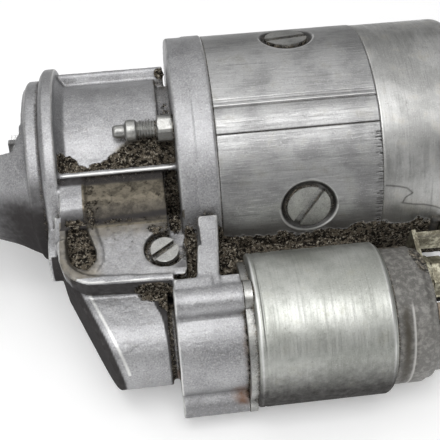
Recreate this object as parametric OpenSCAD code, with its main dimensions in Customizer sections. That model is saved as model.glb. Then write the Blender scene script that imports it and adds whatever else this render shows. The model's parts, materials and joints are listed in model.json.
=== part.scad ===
// Pre-engaged starter motor with its solenoid alongside, lying as on a bench.
// X runs along the shaft from the drive end to the commutator end.
// The origin is on the shaft axis, in the mating face of the mounting flange.
// Modules draw in the casting's own axes: the shaft at Y = Z = 0, the solenoid
// towards -Y, the lever pivot along Z. Module laid() leans them on the bench.
// An angle about the shaft starts at the solenoid side (-Y) and turns towards +Z.

/* [Layout] */
// Distance from the shaft axis to the solenoid axis
sol_dist = 73.4; // [72.5:0.1:76]
// Radius of the cast ring that meets the yoke
ring_r = 45.5; // [45.2:0.1:46]
// Radius of the solenoid can
sol_r = 26; // [25:0.5:27]
// Travel of the pinion along the shaft
pinion_travel = 16; // [12:1:16]

/* [Drive end housing] */
// Radius of the locating pilot
pilot_r = 33.5; // [32:0.5:34]
// Width of the pilot
pilot_w = 4.8; // [3:0.2:6]
// Thickness of the mounting flange
flange_t = 5.5; // [5:0.5:7]
// Radius of the flange edge
flange_r = 37.4; // [36:0.2:38]
// Circle of the mounting bolts
bolt_pcd = 88; // [87:1:90]
// Radius of the mounting bolt holes
bolt_hole_r = 4.25; // [3.3:0.05:4.5]
// Radius of the round body behind the flange
body_r = 30.5; // [29:0.5:31]
// Length from the flange face to the end of the round body
body_end = 41; // [39:0.5:42]
// Start of the ring along X
ring_x = 46; // [45.5:0.5:47]
// Joint between the ring and the yoke
yoke_x = 59.5; // [59:0.5:60]
// Half height of the lever chamber
chamber_h = 15.5; // [15:0.1:16]
// Height of the flat panel beside the lever pivot
plate_h = 24; // [23.5:0.5:25]

/* [Yoke and end cap] */
// Outer radius of the steel yoke
yoke_r = 45; // [44.5:0.1:45.2]
// Inner radius of the steel yoke
yoke_bore = 40.2; // [40:0.1:41]
// Joint between the yoke and the end cap
cap_x = 115.3; // [115:0.1:117]
// Rear face of the end cap
cap_end = 150; // [149:0.5:152]
// Radius of the end cap
cap_r = 44.7; // [44:0.1:45]
// Angle of the first pole screw about the shaft
pole_angle = 28; // [26:0.5:30]
// Diameter of the recess round a pole screw
pole_recess_d = 19.6; // [18:0.2:20]
// Diameter of a pole screw head
pole_head_d = 15; // [14:0.5:16]

/* [Armature] */
// Radius of the laminated core
core_r = 28.5; // [27:0.1:28.8]
// Number of slots and commutator bars
slots = 23; // [19:2:25]
// Radius of the commutator
comm_r = 17.5; // [17:0.1:17.6]

/* [Pinion] */
// Number of teeth
teeth = 9; // [8:1:10]
// Tip radius of the pinion
tip_r = 14.4; // [14:0.1:15]
// Root radius of the pinion
root_r = 8.8; // [8.5:0.1:9.2]
// Length of the teeth
pinion_len = 16; // [14:1:16]

/* [Lever] */
// Place of the lever pivot along X
pivot_x = 39; // [38.5:0.1:39.5]
// Distance of the lever pivot from the shaft axis
pivot_d = 52; // [51.5:0.1:52.5]
// Length of the fork from the pivot to its pads
arm_len = 54; // [53.5:0.1:54.5]

/* [Solenoid] */
// Front face of the solenoid can
can_x = 65.1; // [65:0.1:65.5]
// Rear edge of the solenoid can
can_end = 109.7; // [109:0.1:110]
// Radius of the plunger
plunger_r = 9.8; // [9:0.1:10]
// Circle radius of the three fixing screws
fix_r = 22; // [21.5:0.5:22]
// Radius of a fixing lug
lug_r = 5; // [4.8:0.1:5.4]
// Distance of the terminal studs from the solenoid axis
stud_at = 12.5; // [12:0.1:13]
// Radius of the terminal studs over their threads
stud_r = 4; // [3.5:0.1:4]
// Radius of the terminal studs under their nuts
stud_core_r = 3.3; // [2.8:0.1:3.3]

/* [Hidden] */
$fn = 96;
small = 48;
tiny = 24;
eps = 0.01;
lean = asin((ring_r - sol_r) / sol_dist);
bolt_angle = pole_angle + 45;
bolt_r = 35;
ear_angle = 10.4;
ear_r = 7.5;
lug_angles = [95.4, -24.6, 215.4];
stud_angles = [133.4, -46.6];
slot_turns = [55, 9, 145, 80];
pocket_w = 8.5;
seat_x = 40.3;
seat_end = 62.5;
barrel_r = 20;
screw_seat_x = 48.1;
nut_end = 133;
shaft_r = 5.95;
spline_r = 6.5;
bush_r = 8;
eye_len = sol_dist - pivot_d;
bore_r = 24;
collar_r = 10.6;
bolt_shank = 2.6;
nose_end = -58;
pinion_x = -14;
guide_x = 31;
lever_rest = asin((pivot_x - guide_x) / arm_len);
pin_x = pivot_x + eye_len * tan(lever_rest);
window_angle = 146;
window_half = 76;
coil_half = 33;
pole_half = 20;

// ---- shared shapes --------------------------------------------------------

// Leans the casting's axes to where the starter rests on the ring and the solenoid.
module laid() {
  rotate([lean, 0, 0]) children();
}

// Moves to radius r at angle a about the shaft axis, and to x along it.
module polar(a, r = 0, x = 0) {
  rotate([-a, 0, 0]) translate([x, -r, 0]) children();
}

// Moves to the solenoid axis.
module at_solenoid() {
  translate([0, -sol_dist, 0]) children();
}

// Solid of revolution about X from points [x, r].
module turned(points, fn = $fn) {
  rotate([0, 90, 0])
    rotate_extrude($fn = fn)
      polygon([for (p = points) [p[1], p[0]]]);
}

// Round bar along X.
module bar(x0, x1, r, fn = $fn) {
  translate([x0, 0, 0]) rotate([0, 90, 0]) cylinder(h = x1 - x0, r = r, $fn = fn);
}

// Round tube along X.
module tube(x0, x1, ro, ri, fn = $fn) {
  difference() {
    bar(x0, x1, ro, fn);
    bar(x0 - 1, x1 + 1, ri, fn);
  }
}

// Box given by its two corners.
module box(a, b) {
  translate(a) cube(b - a);
}

// Round bar along Z.
module post(z0, z1, r, fn = $fn) {
  translate([0, 0, z0]) cylinder(h = z1 - z0, r = r, $fn = fn);
}

// Sector between two radii, from x0 to x1 and half degrees either side of angle a.
module sector(a, half, x0, x1, ro, ri) {
  reach = ro * 2;
  side = reach * sin(half);
  polar(a)
    intersection() {
      tube(x0, x1, ro, ri);
      translate([x0, 0, 0])
        rotate([0, 90, 0])
          linear_extrude(x1 - x0)
            polygon([[0, 0], [side, -reach * cos(half)], [-side, -reach * cos(half)]]);
    }
}

// Plan outline in X and distance d from the shaft, raised from z0 to z1.
module slab(points, z0, z1) {
  translate([0, 0, z0])
    linear_extrude(z1 - z0)
      polygon([for (p = points) [p[0], -p[1]]]);
}

// Profile in distance d from the shaft and height, drawn out along X.
module ridge(points, x0, x1) {
  translate([x0, 0, 0])
    rotate([90, 0, 90])
      linear_extrude(x1 - x0)
        polygon([for (p = points) [-p[0], p[1]]]);
}

// ---- drive end housing ----------------------------------------------------

// Nose, pilot, flange, body and ring as one turned outline.
module housing_round() {
  turned([[nose_end, 0], [nose_end, 11.5], [nose_end + 1.5, 13], [-50, 14.5], [-44, 19.5], [-30, 22],
          [-22, 24], [-14.6, 26.7], [-8, 30.2], [-pilot_w - 0.6, 31.6], [-pilot_w - 0.2, pilot_r - 0.4],
          [-pilot_w, pilot_r], [-0.9, pilot_r], [-0.7, pilot_r - 0.6], [-eps, pilot_r - 0.6],
          [0, flange_r - 2.2],
          [0.5, flange_r - 1.1], [1.2, flange_r - 0.3], [2, flange_r], [flange_t - 0.5, flange_r],
          [flange_t - 0.1, flange_r - 0.3], [flange_t, flange_r - 0.8], [flange_t, 34.2],
          [flange_t + 1, 32.6], [flange_t + 2.6, body_r],
          [body_end, body_r], [body_end, 27.5], [ring_x, 27.5], [ring_x, ring_r - 0.9],
          [ring_x + 0.6, ring_r - 0.3], [ring_x + 6.3, ring_r - 0.3], [ring_x + 6.7, ring_r],
          [yoke_x - 0.4, ring_r], [yoke_x, ring_r - 0.4], [yoke_x, 0]]);
}

// Two flange ears reaching past the round edge.
module ears() {
  for (a = [ear_angle, ear_angle + 180])
    polar(a) {
      translate([0, -bolt_pcd / 2, 0]) bar(0, flange_t, ear_r, small);
      box([0, -bolt_pcd / 2, -ear_r], [flange_t, -30, ear_r]);
    }
}

// Rib along X standing out to radius r, with a round edge.
module long_rib(a, x0, x1, r, t) {
  polar(a) {
    box([x0, -r + t / 2, -t / 2], [x1, -body_r + 4, t / 2]);
    translate([0, -r + t / 2, 0]) bar(x0, x1, t / 2, tiny);
  }
}

// Raised panel, its pads and its rim over the lever chamber.
module panel() {
  slab([[flange_t, 12], [body_end, 12], [body_end, 42], [flange_t, 42]], -22, 20);
  // Panel above the fork space, sloping down to a groove beside the plate
  ridge([[12, 19], [12, 24.4], [30, 24.8], [34.5, 24.3], [38.9, 22.3], [40.4, 22.3], [40.4, 19]],
    14.6, body_end);
  ridge([[12, 18.6], [12, 25.2], [30, 25.6], [34, 24.8], [39, 20.6], [40, 18.6]], flange_t, 14);
  slab([[5, 40.2], [body_end, 40.2], [body_end, 44], [42.6, 48.7], [46.2, 49.2], [45.6, 60.4],
        [45, 62], [13.5, 62], [8.5, 59.6], [5, 53]], 0, plate_h);
  // Ridge between the bolt pocket and the plate
  slab([[14.1, 34], [16.4, 34], [17, 42], [18.9, 50.4], [18.8, 55], [16.2, 58.6], [14.2, 57.4],
        [16.8, 54.2], [16.8, 51], [14.8, 44]], 0, plate_h + 0.6);
  // Root of the rim beside the flange
  slab([[3.4, 36], [7, 36], [7.1, 47.5], [3.4, 47]], 0, plate_h - 0.5);
  // Light rim along the left and lower edges
  slab([[4.2, 46.2], [7, 45.4], [7.2, 52.2], [7.8, 54.8], [9.7, 57.1], [12.8, 59.2], [17.2, 60.3],
        [41, 61.9], [41, 64], [15, 62.9], [12.2, 62.3], [8.3, 60], [5.9, 56.8], [4.7, 53.2]],
    0, plate_h + 1.2);
}

// Space left of the bevelled edge along the slanted side of the lever chamber.
module slanted_bevel() {
  tilt = atan2(17.5 - 3, 82 - 48);
  translate([3, -48, 0])
    rotate([0, 0, tilt])
      rotate([90, 0, 0])
        translate([0, 0, -90])
          linear_extrude(180)
            polygon([[0, -60], [0, chamber_h - 6.4], [1.6, chamber_h - 2.6], [4.2, chamber_h - 0.6],
                     [7, chamber_h + 0.1], [90, chamber_h + 0.1], [90, -60]]);
}

// Slanted lever chamber with a round far side about the solenoid axis.
module chamber() {
  intersection() {
    slab([[3, 28], [3, 48], [17.5, 82], [20.5, 88.5], [22, 89.5], [38, 89.5], [38, 28]],
      -chamber_h, chamber_h);
    union() {
      box([0, -sol_dist, -chamber_h], [40, 0, chamber_h]);
      at_solenoid() bar(0, 40, chamber_h);
    }
    // Bevels along the slanted side, above and below
    for (s = [0, 1])
      mirror([0, 0, s])
        slanted_bevel();
  }
}

// Barrel and three lugs that the solenoid seats on.
module solenoid_seat() {
  at_solenoid() {
    bar(37, 41, 13.6);
    translate([seat_x, 0, 0])
      rotate([0, 90, 0])
        linear_extrude(seat_end - seat_x) {
          circle(barrel_r);
          for (a = lug_angles)
            rotate(-90 - a) {
              translate([fix_r, 0]) circle(lug_r);
              translate([15, -lug_r]) square([fix_r - 15, 2 * lug_r]);
            }
        }
  }
  // Flat top between the upper lug and the ring
  box([seat_x + 0.6, -71.3, 4], [seat_end - 0.4, -64.4, 25.2]);
  box([seat_x + 0.4, -71, 20], [53, -64.8, 26]);
}

// Webs and the strip that tie the seat to the ring.
module seat_webs() {
  box([36, -66, -chamber_h], [59, -28, 4]);
  box([36, -63, -chamber_h], [50, -34, 14.5]);
  slab([[51.1, 41.8], [57.6, 41.8], [56.8, 52], [55.4, 66], [55, 70.8], [47.2, 70.8], [48.2, 66],
        [49.6, 54]], 0, 25.6);
}

// Space for the armature, the drive, the lever and the plunger.
module housing_hollow() {
  turned([[nose_end - 1, 0], [nose_end - 1, bush_r], [-44, bush_r], [-44, 17.5], [-13, 17.5], [-12, bore_r],
          [47, bore_r], [50, 40], [yoke_x + 1, 40], [yoke_x + 1, 0]]);
  // Fork space between the bore and the lever chamber
  slab([[8, 0], [8, 16], [20, 36], [20, 41.5], [39.4, 41.5], [39.4, 0]], -17.8, 17.8);
  // Lever space down to the plunger
  slab([[20, 36], [20, 50], [25.5, 74], [48, 74], [48, 46], [43, 40], [39.4, 36]], -11.5, 11.5);
  // Swing room for the lever's eye
  slab([[44, 56], [49, 56], [50.5, 60], [50.5, 72], [44, 72]], -4.5, 4.5);
  at_solenoid() bar(25.5, 70, 12);
}

// Opening in the nose through which the ring gear reaches the pinion.
module nose_window() {
  reach = 60;
  // Each step reaches nearer to the pilot over a narrower angle, which rounds the corners
  for (s = [[0, -9.3], [4, -8.3], [9, -7.2], [17, -6.4]]) {
    half = window_half - s[0];
    side = reach * sin(half);
    near = reach * cos(half);
    polar(window_angle)
      translate([-42, 0, 0])
        rotate([0, 90, 0])
          linear_extrude(s[1] + 42)
            polygon([[0, 0], [side, -near], [side, -reach], [-side, -reach], [-side, -near]]);
  }
}

module drive_end_housing() {
  color("#b4b6b3")
    laid()
      difference() {
        union() {
          housing_round();
          ears();
          panel();
          chamber();
          solenoid_seat();
          seat_webs();
          long_rib(138.4, flange_t - 1, 44.6, 35.2, 2.6);
          long_rib(50.4, flange_t - 1, ring_x + 1, 35.6, 2);
          long_rib(198, flange_t - 1, ring_x + 1, 34.6, 3);
          long_rib(255, flange_t - 1, ring_x + 1, 34.6, 3);
          long_rib(318, flange_t - 1, ring_x + 1, 34.6, 3);
        }
        housing_hollow();
        nose_window();
        // Mounting bolt holes and the room for their heads
        for (a = [ear_angle, ear_angle + 180])
          polar(a, bolt_pcd / 2) {
            bar(-1, flange_t + 1, bolt_hole_r, small);
            bar(flange_t, 15.5, pocket_w, small);
          }
        slab([[7.2, 41], [14, 41], [14.8, 44], [16.8, 51], [16.6, 54], [14.2, 57.2], [11, 56.4], [8.6, 54.4],
              [7.5, 51.4]], 7, 40);
        // Room round each through bolt, and its hole in the ring
        for (a = [bolt_angle, bolt_angle + 180])
          polar(a, bolt_r) {
            bar(24.7, 40.3, 4.3, small);
            bar(40, ring_x + 0.3, 6.4, small);
            bar(ring_x - 1, 51, bolt_shank + 0.4, small);
          }
        // Lever pivot bore, with a recess for the slotted head open to the right
        translate([pivot_x, -pivot_d, 0]) {
          post(-30, 40, 4, small);
          post(19.6, 40, 6.7, small);
          box([0, -1, 21.4], [12, 6.7, 40]);
        }
        // Solenoid fixing screws, sunk in the lugs
        at_solenoid()
          for (a = lug_angles)
            polar(a, fix_r) {
              bar(39, 70, 2.1, small);
              bar(39, screw_seat_x, 3.7, small);
            }
      }
}

module nose_bush() {
  color("#a8864c")
    laid()
      tube(nose_end + 1, -44, bush_r, 6);
}

// ---- yoke and field -------------------------------------------------------

module yoke() {
  color("#a2a4a4")
    laid()
      difference() {
        tube(yoke_x, cap_x, yoke_r, yoke_bore);
        // Countersunk recesses for the pole screws
        for (k = [0:3])
          polar(pole_angle + 90 * k, 0, 89.5)
            rotate([90, 0, 0]) {
              post(43.5, 50, pole_recess_d / 2, small);
              post(30, 50, 5.2, small);
              translate([0, 0, 41.4]) cylinder(h = 2.2, r1 = 5.2, r2 = pole_head_d / 2 + 0.1, $fn = small);
            }
        // Shallow flat along the tube where its seam is
        polar(69.2) box([yoke_x - 1, -50, -6], [cap_x + 1, -44.4, 6]);
      }
}

module pole_shoes() {
  color("#6d6f70")
    laid()
      for (k = [0:3])
        difference() {
          union() {
            sector(pole_angle + 90 * k, pole_half, 64, 110, yoke_bore, 32);
            sector(pole_angle + 90 * k, coil_half, 64, 110, 33, 29.4);
          }
          polar(pole_angle + 90 * k, 0, 89.5) rotate([90, 0, 0]) post(34, 50, 4, small);
        }
}

module pole_screws() {
  color("#9b9c98")
    laid()
      for (k = [0:3])
        polar(pole_angle + 90 * k, 0, 89.5)
          rotate([90, 0, 0])
            difference() {
              union() {
                post(34.2, 42, 4, small);
                translate([0, 0, 41.4]) cylinder(h = 2.1, r1 = 5.1, r2 = pole_head_d / 2, $fn = small);
                post(43.4, 44.7, pole_head_d / 2, small);
              }
              rotate([0, 0, slot_turns[k]]) box([-10, -1.25, 43], [10, 1.25, 50]);
            }
}

module field_coils() {
  color("#7a3b1e")
    laid()
      for (k = [0:3])
        difference() {
          sector(pole_angle + 90 * k, coil_half, 58, 116, 39.7, 33.4);
          sector(pole_angle + 90 * k, pole_half + 0.8, 63.4, 110.6, 42, 31);
        }
}

module commutator_end_cap() {
  color("#bcbdbb")
    laid()
      difference() {
        turned([[cap_x, 0], [cap_x, cap_r], [cap_end - 3, cap_r], [cap_end - 1.6, cap_r - 0.4],
                [cap_end - 0.4, cap_r - 1.6], [cap_end, cap_r - 3], [cap_end, 0]]);
        turned([[cap_x - 1, 0], [cap_x - 1, 40], [cap_end - 3.5, 40], [cap_end - 3.5, 11],
                [143.2, 11], [143.2, 0]]);
        bar(140, cap_end + 1, bush_r, small);
        for (a = [bolt_angle, bolt_angle + 180])
          polar(a, bolt_r) bar(140, cap_end + 1, bolt_shank + 0.4, small);
        for (a = [60, 240])
          polar(a, 11.5) bar(cap_end - 3.2, cap_end + 1, 1.5, tiny);
        // Slot for the lead grommet
        polar(ear_angle) box([133.2, -50, -4.4], [141, -38, 4.4]);
      }
}

module rear_bush() {
  color("#a8864c")
    laid()
      tube(143.4, cap_end, bush_r, 5.5);
}

module through_bolts() {
  color("#8d8f8d")
    laid()
      for (a = [bolt_angle, bolt_angle + 180])
        polar(a, bolt_r) {
          bar(33.6, cap_end, bolt_shank, small);
          bar(33.6, 40, 3, small);
          bar(29.6, 33.6, 3.8, small);
          bar(25.2, 29.6, 2.3, small);
          bar(cap_end, cap_end + 3.6, 4.6, 6);
        }
}

module through_bolt_nuts() {
  color("#9b9c98")
    laid()
      for (a = [bolt_angle, bolt_angle + 180])
        polar(a, bolt_r)
          difference() {
            bar(40.4, ring_x + 0.3, 5, 6);
            bar(40, ring_x + 1, bolt_shank, small);
          }
}

module rear_bearing_cap() {
  color("#b4b6b3")
    laid()
      difference() {
        turned([[cap_end, 0], [cap_end, 15], [cap_end + 1.6, 15], [cap_end + 2.2, 13.6],
                [cap_end + 2.2, 9.4], [cap_end + 6, 8.6], [cap_end + 6, 0]]);
        bar(cap_end - 1, cap_end + 4.6, 7.6, small);
        for (a = [60, 240])
          polar(a, 11.5) bar(cap_end - 1, cap_end + 4, 1.6, tiny);
      }
}

module rear_cap_screws() {
  color("#9b9c98")
    laid()
      for (a = [60, 240])
        polar(a, 11.5)
          difference() {
            union() {
              bar(cap_end - 3, cap_end + 2.2, 1.45, tiny);
              bar(cap_end + 2.2, cap_end + 4, 2.1, tiny);
            }
            box([cap_end + 3.2, -3, -0.35], [cap_end + 5, 3, 0.35]);
          }
}

// ---- brush gear -----------------------------------------------------------

module brush_plate() {
  color("#6b4a2c")
    laid()
      difference() {
        tube(118, 119.6, 39.6, 20);
        for (a = [bolt_angle, bolt_angle + 180])
          polar(a, bolt_r) bar(117, 121, bolt_shank + 0.5, small);
      }
}

module brush_boxes() {
  color("#a8864c")
    laid()
      for (k = [0:3])
        polar(pole_angle + 90 * k)
          difference() {
            box([119.6, -33.8, -6.4], [134.6, -19.4, 6.4]);
            box([121, -40, -5.1], [133.2, -10, 5.1]);
          }
}

module brushes() {
  color("#3c3a3a")
    laid()
      for (k = [0:3])
        polar(pole_angle + 90 * k)
          box([121.1, -29, -5], [133.1, -comm_r - 0.3, 5]);
}

module brush_springs() {
  color("#8d8f8d")
    laid()
      for (k = [0:3])
        polar(pole_angle + 90 * k, 0, 127.1)
          rotate([90, 0, 0])
            difference() {
              post(29, 39, 3.6, small);
              post(28, 40, 2.6, small);
            }
}

// ---- armature -------------------------------------------------------------

module armature_shaft() {
  color("#9b9c98")
    laid()
      difference() {
        turned([[nose_end + 2, 0], [nose_end + 2, 5], [nose_end + 3, shaft_r], [21.6, shaft_r],
                [22.4, spline_r], [44, spline_r], [44, 8], [143, 8], [143, 5.45], [153.4, 5.45],
                [153.4, 0]]);
        // Groove for the rear clip
        tube(151.8, 152.8, 7, 4.6);
      }
}

module armature_core() {
  color("#5f6163")
    laid()
      difference() {
        tube(64, 110, core_r, 8);
        for (k = [0:slots - 1])
          polar(360 / slots * k) box([63, -core_r - 1, -1.7], [111, -18, 1.7]);
      }
}

module armature_windings() {
  color("#9c5a2a")
    laid() {
      for (k = [0:slots - 1])
        polar(360 / slots * k) box([63.5, -core_r + 0.9, -1.6], [110.5, -18.2, 1.6]);
      tube(54, 63.8, 26.6, 12);
      // Rear overhang, with a neck through the brush plate to the commutator
      turned([[110.2, 12], [110.2, 26.6], [116.6, 26.6], [117.2, 26], [117.6, 18.4], [121.4, comm_r],
              [121.4, 12]]);
    }
}

module commutator() {
  color("#b0703c")
    laid()
      difference() {
        tube(121.6, 142, comm_r, 8);
        for (k = [0:slots - 1])
          polar(360 / slots * k) box([121, -comm_r - 1, -0.3], [143, -comm_r + 1.2, 0.3]);
      }
}

module shaft_clip() {
  color("#4c4e4f")
    laid()
      tube(151.9, 152.7, 7, 4.6, small);
}

module thrust_washers() {
  color("#8d8f8d")
    laid()
      tube(cap_end + 0.2, 151.7, 7.2, 5.45, small);
}

module stop_ring() {
  color("#8d8f8d")
    laid()
      tube(-34.6, -31.6, 9.5, shaft_r, small);
}

// ---- drive ----------------------------------------------------------------

// Outline of one tooth, pointing towards +X of the sketch.
module tooth(r0, r1) {
  pitch = 360 / teeth;
  polygon([[r0 * cos(pitch / 2.9), -r0 * sin(pitch / 2.9)],
           [(r0 + r1) / 2 * cos(pitch / 4.3), -(r0 + r1) / 2 * sin(pitch / 4.3)],
           [r1 * cos(pitch / 8.5), -r1 * sin(pitch / 8.5)],
           [r1 * cos(pitch / 8.5), r1 * sin(pitch / 8.5)],
           [(r0 + r1) / 2 * cos(pitch / 4.3), (r0 + r1) / 2 * sin(pitch / 4.3)],
           [r0 * cos(pitch / 2.9), r0 * sin(pitch / 2.9)],
           [0, 0]]);
}

module drive_pinion() {
  color("#7e8082")
    laid()
      difference() {
        union() {
          translate([pinion_x, 0, 0])
            rotate([0, 90, 0])
              linear_extrude(pinion_len)
                for (k = [0:teeth - 1])
                  rotate(360 / teeth * k) tooth(root_r, tip_r);
          bar(pinion_x, pinion_x + pinion_len, root_r, small);
          bar(pinion_x + pinion_len - 0.1, 21, collar_r);
        }
        bar(pinion_x - 1, 22, shaft_r + 0.08);
      }
}

module clutch_shell() {
  color("#8a8c8e")
    laid()
      difference() {
        turned([[8.2, 0], [8.2, 21], [9, 22], [23, 22], [24, 21], [24, 0]]);
        bar(7, 21.6, 16);
        bar(20, 25, 8.2, small);
      }
}

module clutch_cover() {
  color("#77797b")
    laid()
      tube(6.2, 8.2, 21.6, collar_r + 0.5);
}

module clutch_rollers() {
  color("#c4c5c5")
    laid()
      for (k = [0:5])
        polar(60 * k, 13.35) bar(9, 20.8, 2.55, small);
}

module driver_sleeve() {
  color("#8a8c8e")
    laid()
      tube(22.6, 39, 8.2, spline_r + 0.1, small);
}

module meshing_spring() {
  color("#6d6f70")
    laid()
      tube(24.2, guide_x - 4, 11.4, 8.6, small);
}

module guide_ring() {
  color("#b58b3e")
    laid()
      difference() {
        tube(guide_x - 3.8, guide_x + 5, 13.6, 8.5);
        tube(guide_x - 3.1, guide_x + 3.1, 20, 10.4);
      }
}

module sleeve_clip() {
  color("#4c4e4f")
    laid()
      tube(guide_x + 5.3, guide_x + 6.5, 10.4, 8.2, small);
}

// ---- lever and solenoid ---------------------------------------------------

module shift_lever() {
  color("#7e7f7b")
    laid()
      translate([pivot_x, -pivot_d, 0])
        rotate([0, 0, lever_rest])
          difference() {
            union() {
              post(-9, 9, 6.4, small);
              // Eye end, in the slot of the plunger
              box([-4, -eye_len, -3], [4, 0, 3]);
              box([-5, -eye_len - 6.6, -3], [5, -eye_len + 4, 3]);
              // Stem, crosspiece and the two arms of the fork
              box([-3, 3, -8], [2, 15, 8]);
              box([-3, 14, -16.9], [2, 20, 16.9]);
              for (s = [0, 1])
                mirror([0, 0, s]) {
                  box([-3.4, 14, 14.1], [2.4, arm_len, 16.9]);
                  translate([0, arm_len, 0]) post(14.1, 16.9, 3.6, small);
                  translate([0, arm_len, 0]) post(10.9, 14.2, 2.5, small);
                }
            }
            post(-20, 20, 4.1, small);
            // Slot for the plunger pin
            box([-2.9, -eye_len - 2.8, -4], [2.9, -eye_len, 4]);
            for (y = [-eye_len, -eye_len - 2.8])
              translate([0, y, 0]) post(-4, 4, 2.9, small);
          }
}

module pivot_bolt() {
  color("#9b9c98")
    laid()
      translate([pivot_x, -pivot_d, 0])
        difference() {
          union() {
            post(-chamber_h, 20, 4, small);
            post(19.6, 23.2, 4.6, small);
          }
          rotate([0, 0, 33]) box([-6, -1, 21.6], [6, 1, 26]);
        }
}

module plunger_pin() {
  color("#9b9c98")
    laid()
      translate([pin_x, -sol_dist, 0])
        post(-8.4, 8.4, 2.4, small);
}

module plunger() {
  color("#97999a")
    laid()
      at_solenoid()
        difference() {
          union() {
            bar(33, 80, plunger_r);
            bar(47.6, 49.6, 11.6);
          }
          // Slot for the lever and the pin hole across it
          box([32, -12, -3.6], [48.6, 12, 3.6]);
          translate([pin_x, 0, 0]) post(-12, 12, 2.4, small);
          bar(74, 82, 3, small);
        }
}

module plunger_spring() {
  color("#6d6f70")
    laid()
      at_solenoid()
        tube(49.8, can_x - 0.1, 11.6, 10.2);
}

module solenoid_flange() {
  color("#a8aaa9")
    laid()
      at_solenoid()
        difference() {
          union() {
            bar(62.5, can_x, 23.4);
            for (a = lug_angles)
              polar(a, fix_r) bar(62.5, can_x, lug_r + 0.2, small);
          }
          bar(60, 70, 12, small);
          for (a = lug_angles)
            polar(a, fix_r) bar(60, 70, 2.1, small);
        }
}

module solenoid_can() {
  color("#a9abaa")
    laid()
      at_solenoid()
        difference() {
          turned([[can_x, 0], [can_x, sol_r - 1.2], [can_x + 0.7, sol_r - 0.2], [can_x + 1.4, sol_r],
                  [can_end - 1, sol_r], [can_end, sol_r - 1], [can_end, 0]]);
          bar(68.2, can_end + 1, 23.6);
          bar(can_x - 1, 70, plunger_r + 0.1);
          for (a = lug_angles)
            polar(a, fix_r) bar(60, 68, 2, small);
        }
}

module solenoid_winding() {
  color("#8a4a24")
    laid()
      at_solenoid()
        tube(68.4, 103.4, 22.8, 10.8);
}

module solenoid_core() {
  color("#7e8082")
    laid()
      at_solenoid()
        difference() {
          union() {
            bar(88, 103.6, 9.8);
            bar(103.6, can_end, 23.5);
          }
          bar(80, 112, 2.7, small);
        }
}

module contact_rod() {
  color("#6b4a2c")
    laid()
      at_solenoid()
        bar(87.4, 114.3, 2.2, small);
}

module contact_disc() {
  color("#b0703c")
    laid()
      at_solenoid()
        difference() {
          bar(114.3, 115.9, 15);
          bar(114, 116, 0.8, tiny);
        }
}

module contact_spring() {
  color("#6d6f70")
    laid()
      at_solenoid()
        tube(116, 120.9, 3.4, 2.4, small);
}

module solenoid_cap() {
  color("#4e4f4e")
    laid()
      at_solenoid()
        difference() {
          union() {
            turned([[can_end, 0], [can_end, 22.4], [can_end + 0.8, 23.3], [121, 23.3], [122, 22.4],
                    [124, 22.2], [124, 0]]);
            // Deeper lower block beside the studs
            sector(-12, 64, 121, 131, 21.6, 4);
          }
          bar(can_end - 1, 121, 18.2);
          for (a = stud_angles)
            polar(a, stud_at) {
              bar(119, 126, stud_core_r, small);
              bar(124, 140, 8, small);
            }
        }
}

module terminal_studs() {
  color("#a98f5a")
    laid()
      at_solenoid()
        for (a = stud_angles)
          polar(a, stud_at) {
            bar(118.3, 120.9, 4.8, small);
            bar(120.8, nut_end + 0.6, stud_core_r, small);
            bar(nut_end + 0.5, 141, stud_r, small);
          }
}

module terminal_nuts() {
  color("#b9ad84")
    laid()
      at_solenoid()
        for (a = stud_angles)
          polar(a, stud_at)
            difference() {
              bar(127, nut_end, 7, 6);
              bar(120, 140, stud_core_r, small);
            }
}

module terminal_washers() {
  color("#b6b29d")
    laid()
      at_solenoid()
        for (k = [0:1])
          polar(stud_angles[k], stud_at)
            tube(k == 0 ? 125.5 : 124, 127, 7.4, stud_core_r + 0.1, small);
}

module switch_blade() {
  color("#b3a27a")
    laid()
      at_solenoid()
        polar(78, 0)
          box([124, -22.2, -0.4], [133, -15.9, 0.4]);
}

module blade_block() {
  color("#7b6a50")
    laid()
      at_solenoid()
        polar(67)
          box([124, -21.8, -3.4], [129.4, -14, 2.2]);
}

module solenoid_screws() {
  color("#8d8f8d")
    laid()
      at_solenoid()
        for (a = lug_angles)
          polar(a, fix_r) {
            bar(screw_seat_x - 0.1, 68, 2, small);
            difference() {
              bar(screw_seat_x - 3.9, screw_seat_x, 3.5, small);
              bar(screw_seat_x - 5, screw_seat_x - 1.9, 1.7, 6);
            }
          }
}

module connecting_strap() {
  color("#8b7c62")
    laid() {
      difference() {
        translate([0, -64.8, 9.1]) {
          box([124, -7, -6], [125.5, 15.5, 6]);
          box([124, 14, -6], [137.8, 15.5, 4]);
        }
        translate([0, -64.8, 9.1]) bar(120, 130, stud_core_r + 0.1, small);
      }
      polar(ear_angle) box([136.3, -50.6, -2.6], [137.8, -38, 2.6]);
    }
}

module lead_grommet() {
  color("#2f2f2e")
    laid()
      polar(ear_angle)
        difference() {
          box([133.4, -46.6, -4.2], [140.8, -38, 4.2]);
          box([136.2, -60, -2.7], [137.9, -30, 2.7]);
        }
}

drive_end_housing();
nose_bush();
yoke();
pole_shoes();
pole_screws();
field_coils();
commutator_end_cap();
rear_bush();
brush_plate();
brush_boxes();
brushes();
brush_springs();
through_bolts();
through_bolt_nuts();
rear_bearing_cap();
rear_cap_screws();
armature_shaft();
armature_core();
armature_windings();
commutator();
shaft_clip();
thrust_washers();
stop_ring();
drive_pinion();
clutch_shell();
clutch_cover();
clutch_rollers();
driver_sleeve();
meshing_spring();
guide_ring();
sleeve_clip();
shift_lever();
pivot_bolt();
plunger_pin();
solenoid_can();
solenoid_flange();
solenoid_winding();
solenoid_core();
plunger();
plunger_spring();
contact_rod();
contact_disc();
contact_spring();
solenoid_cap();
terminal_studs();
terminal_nuts();
terminal_washers();
switch_blade();
blade_block();
solenoid_screws();
connecting_strap();
lead_grommet();
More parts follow.
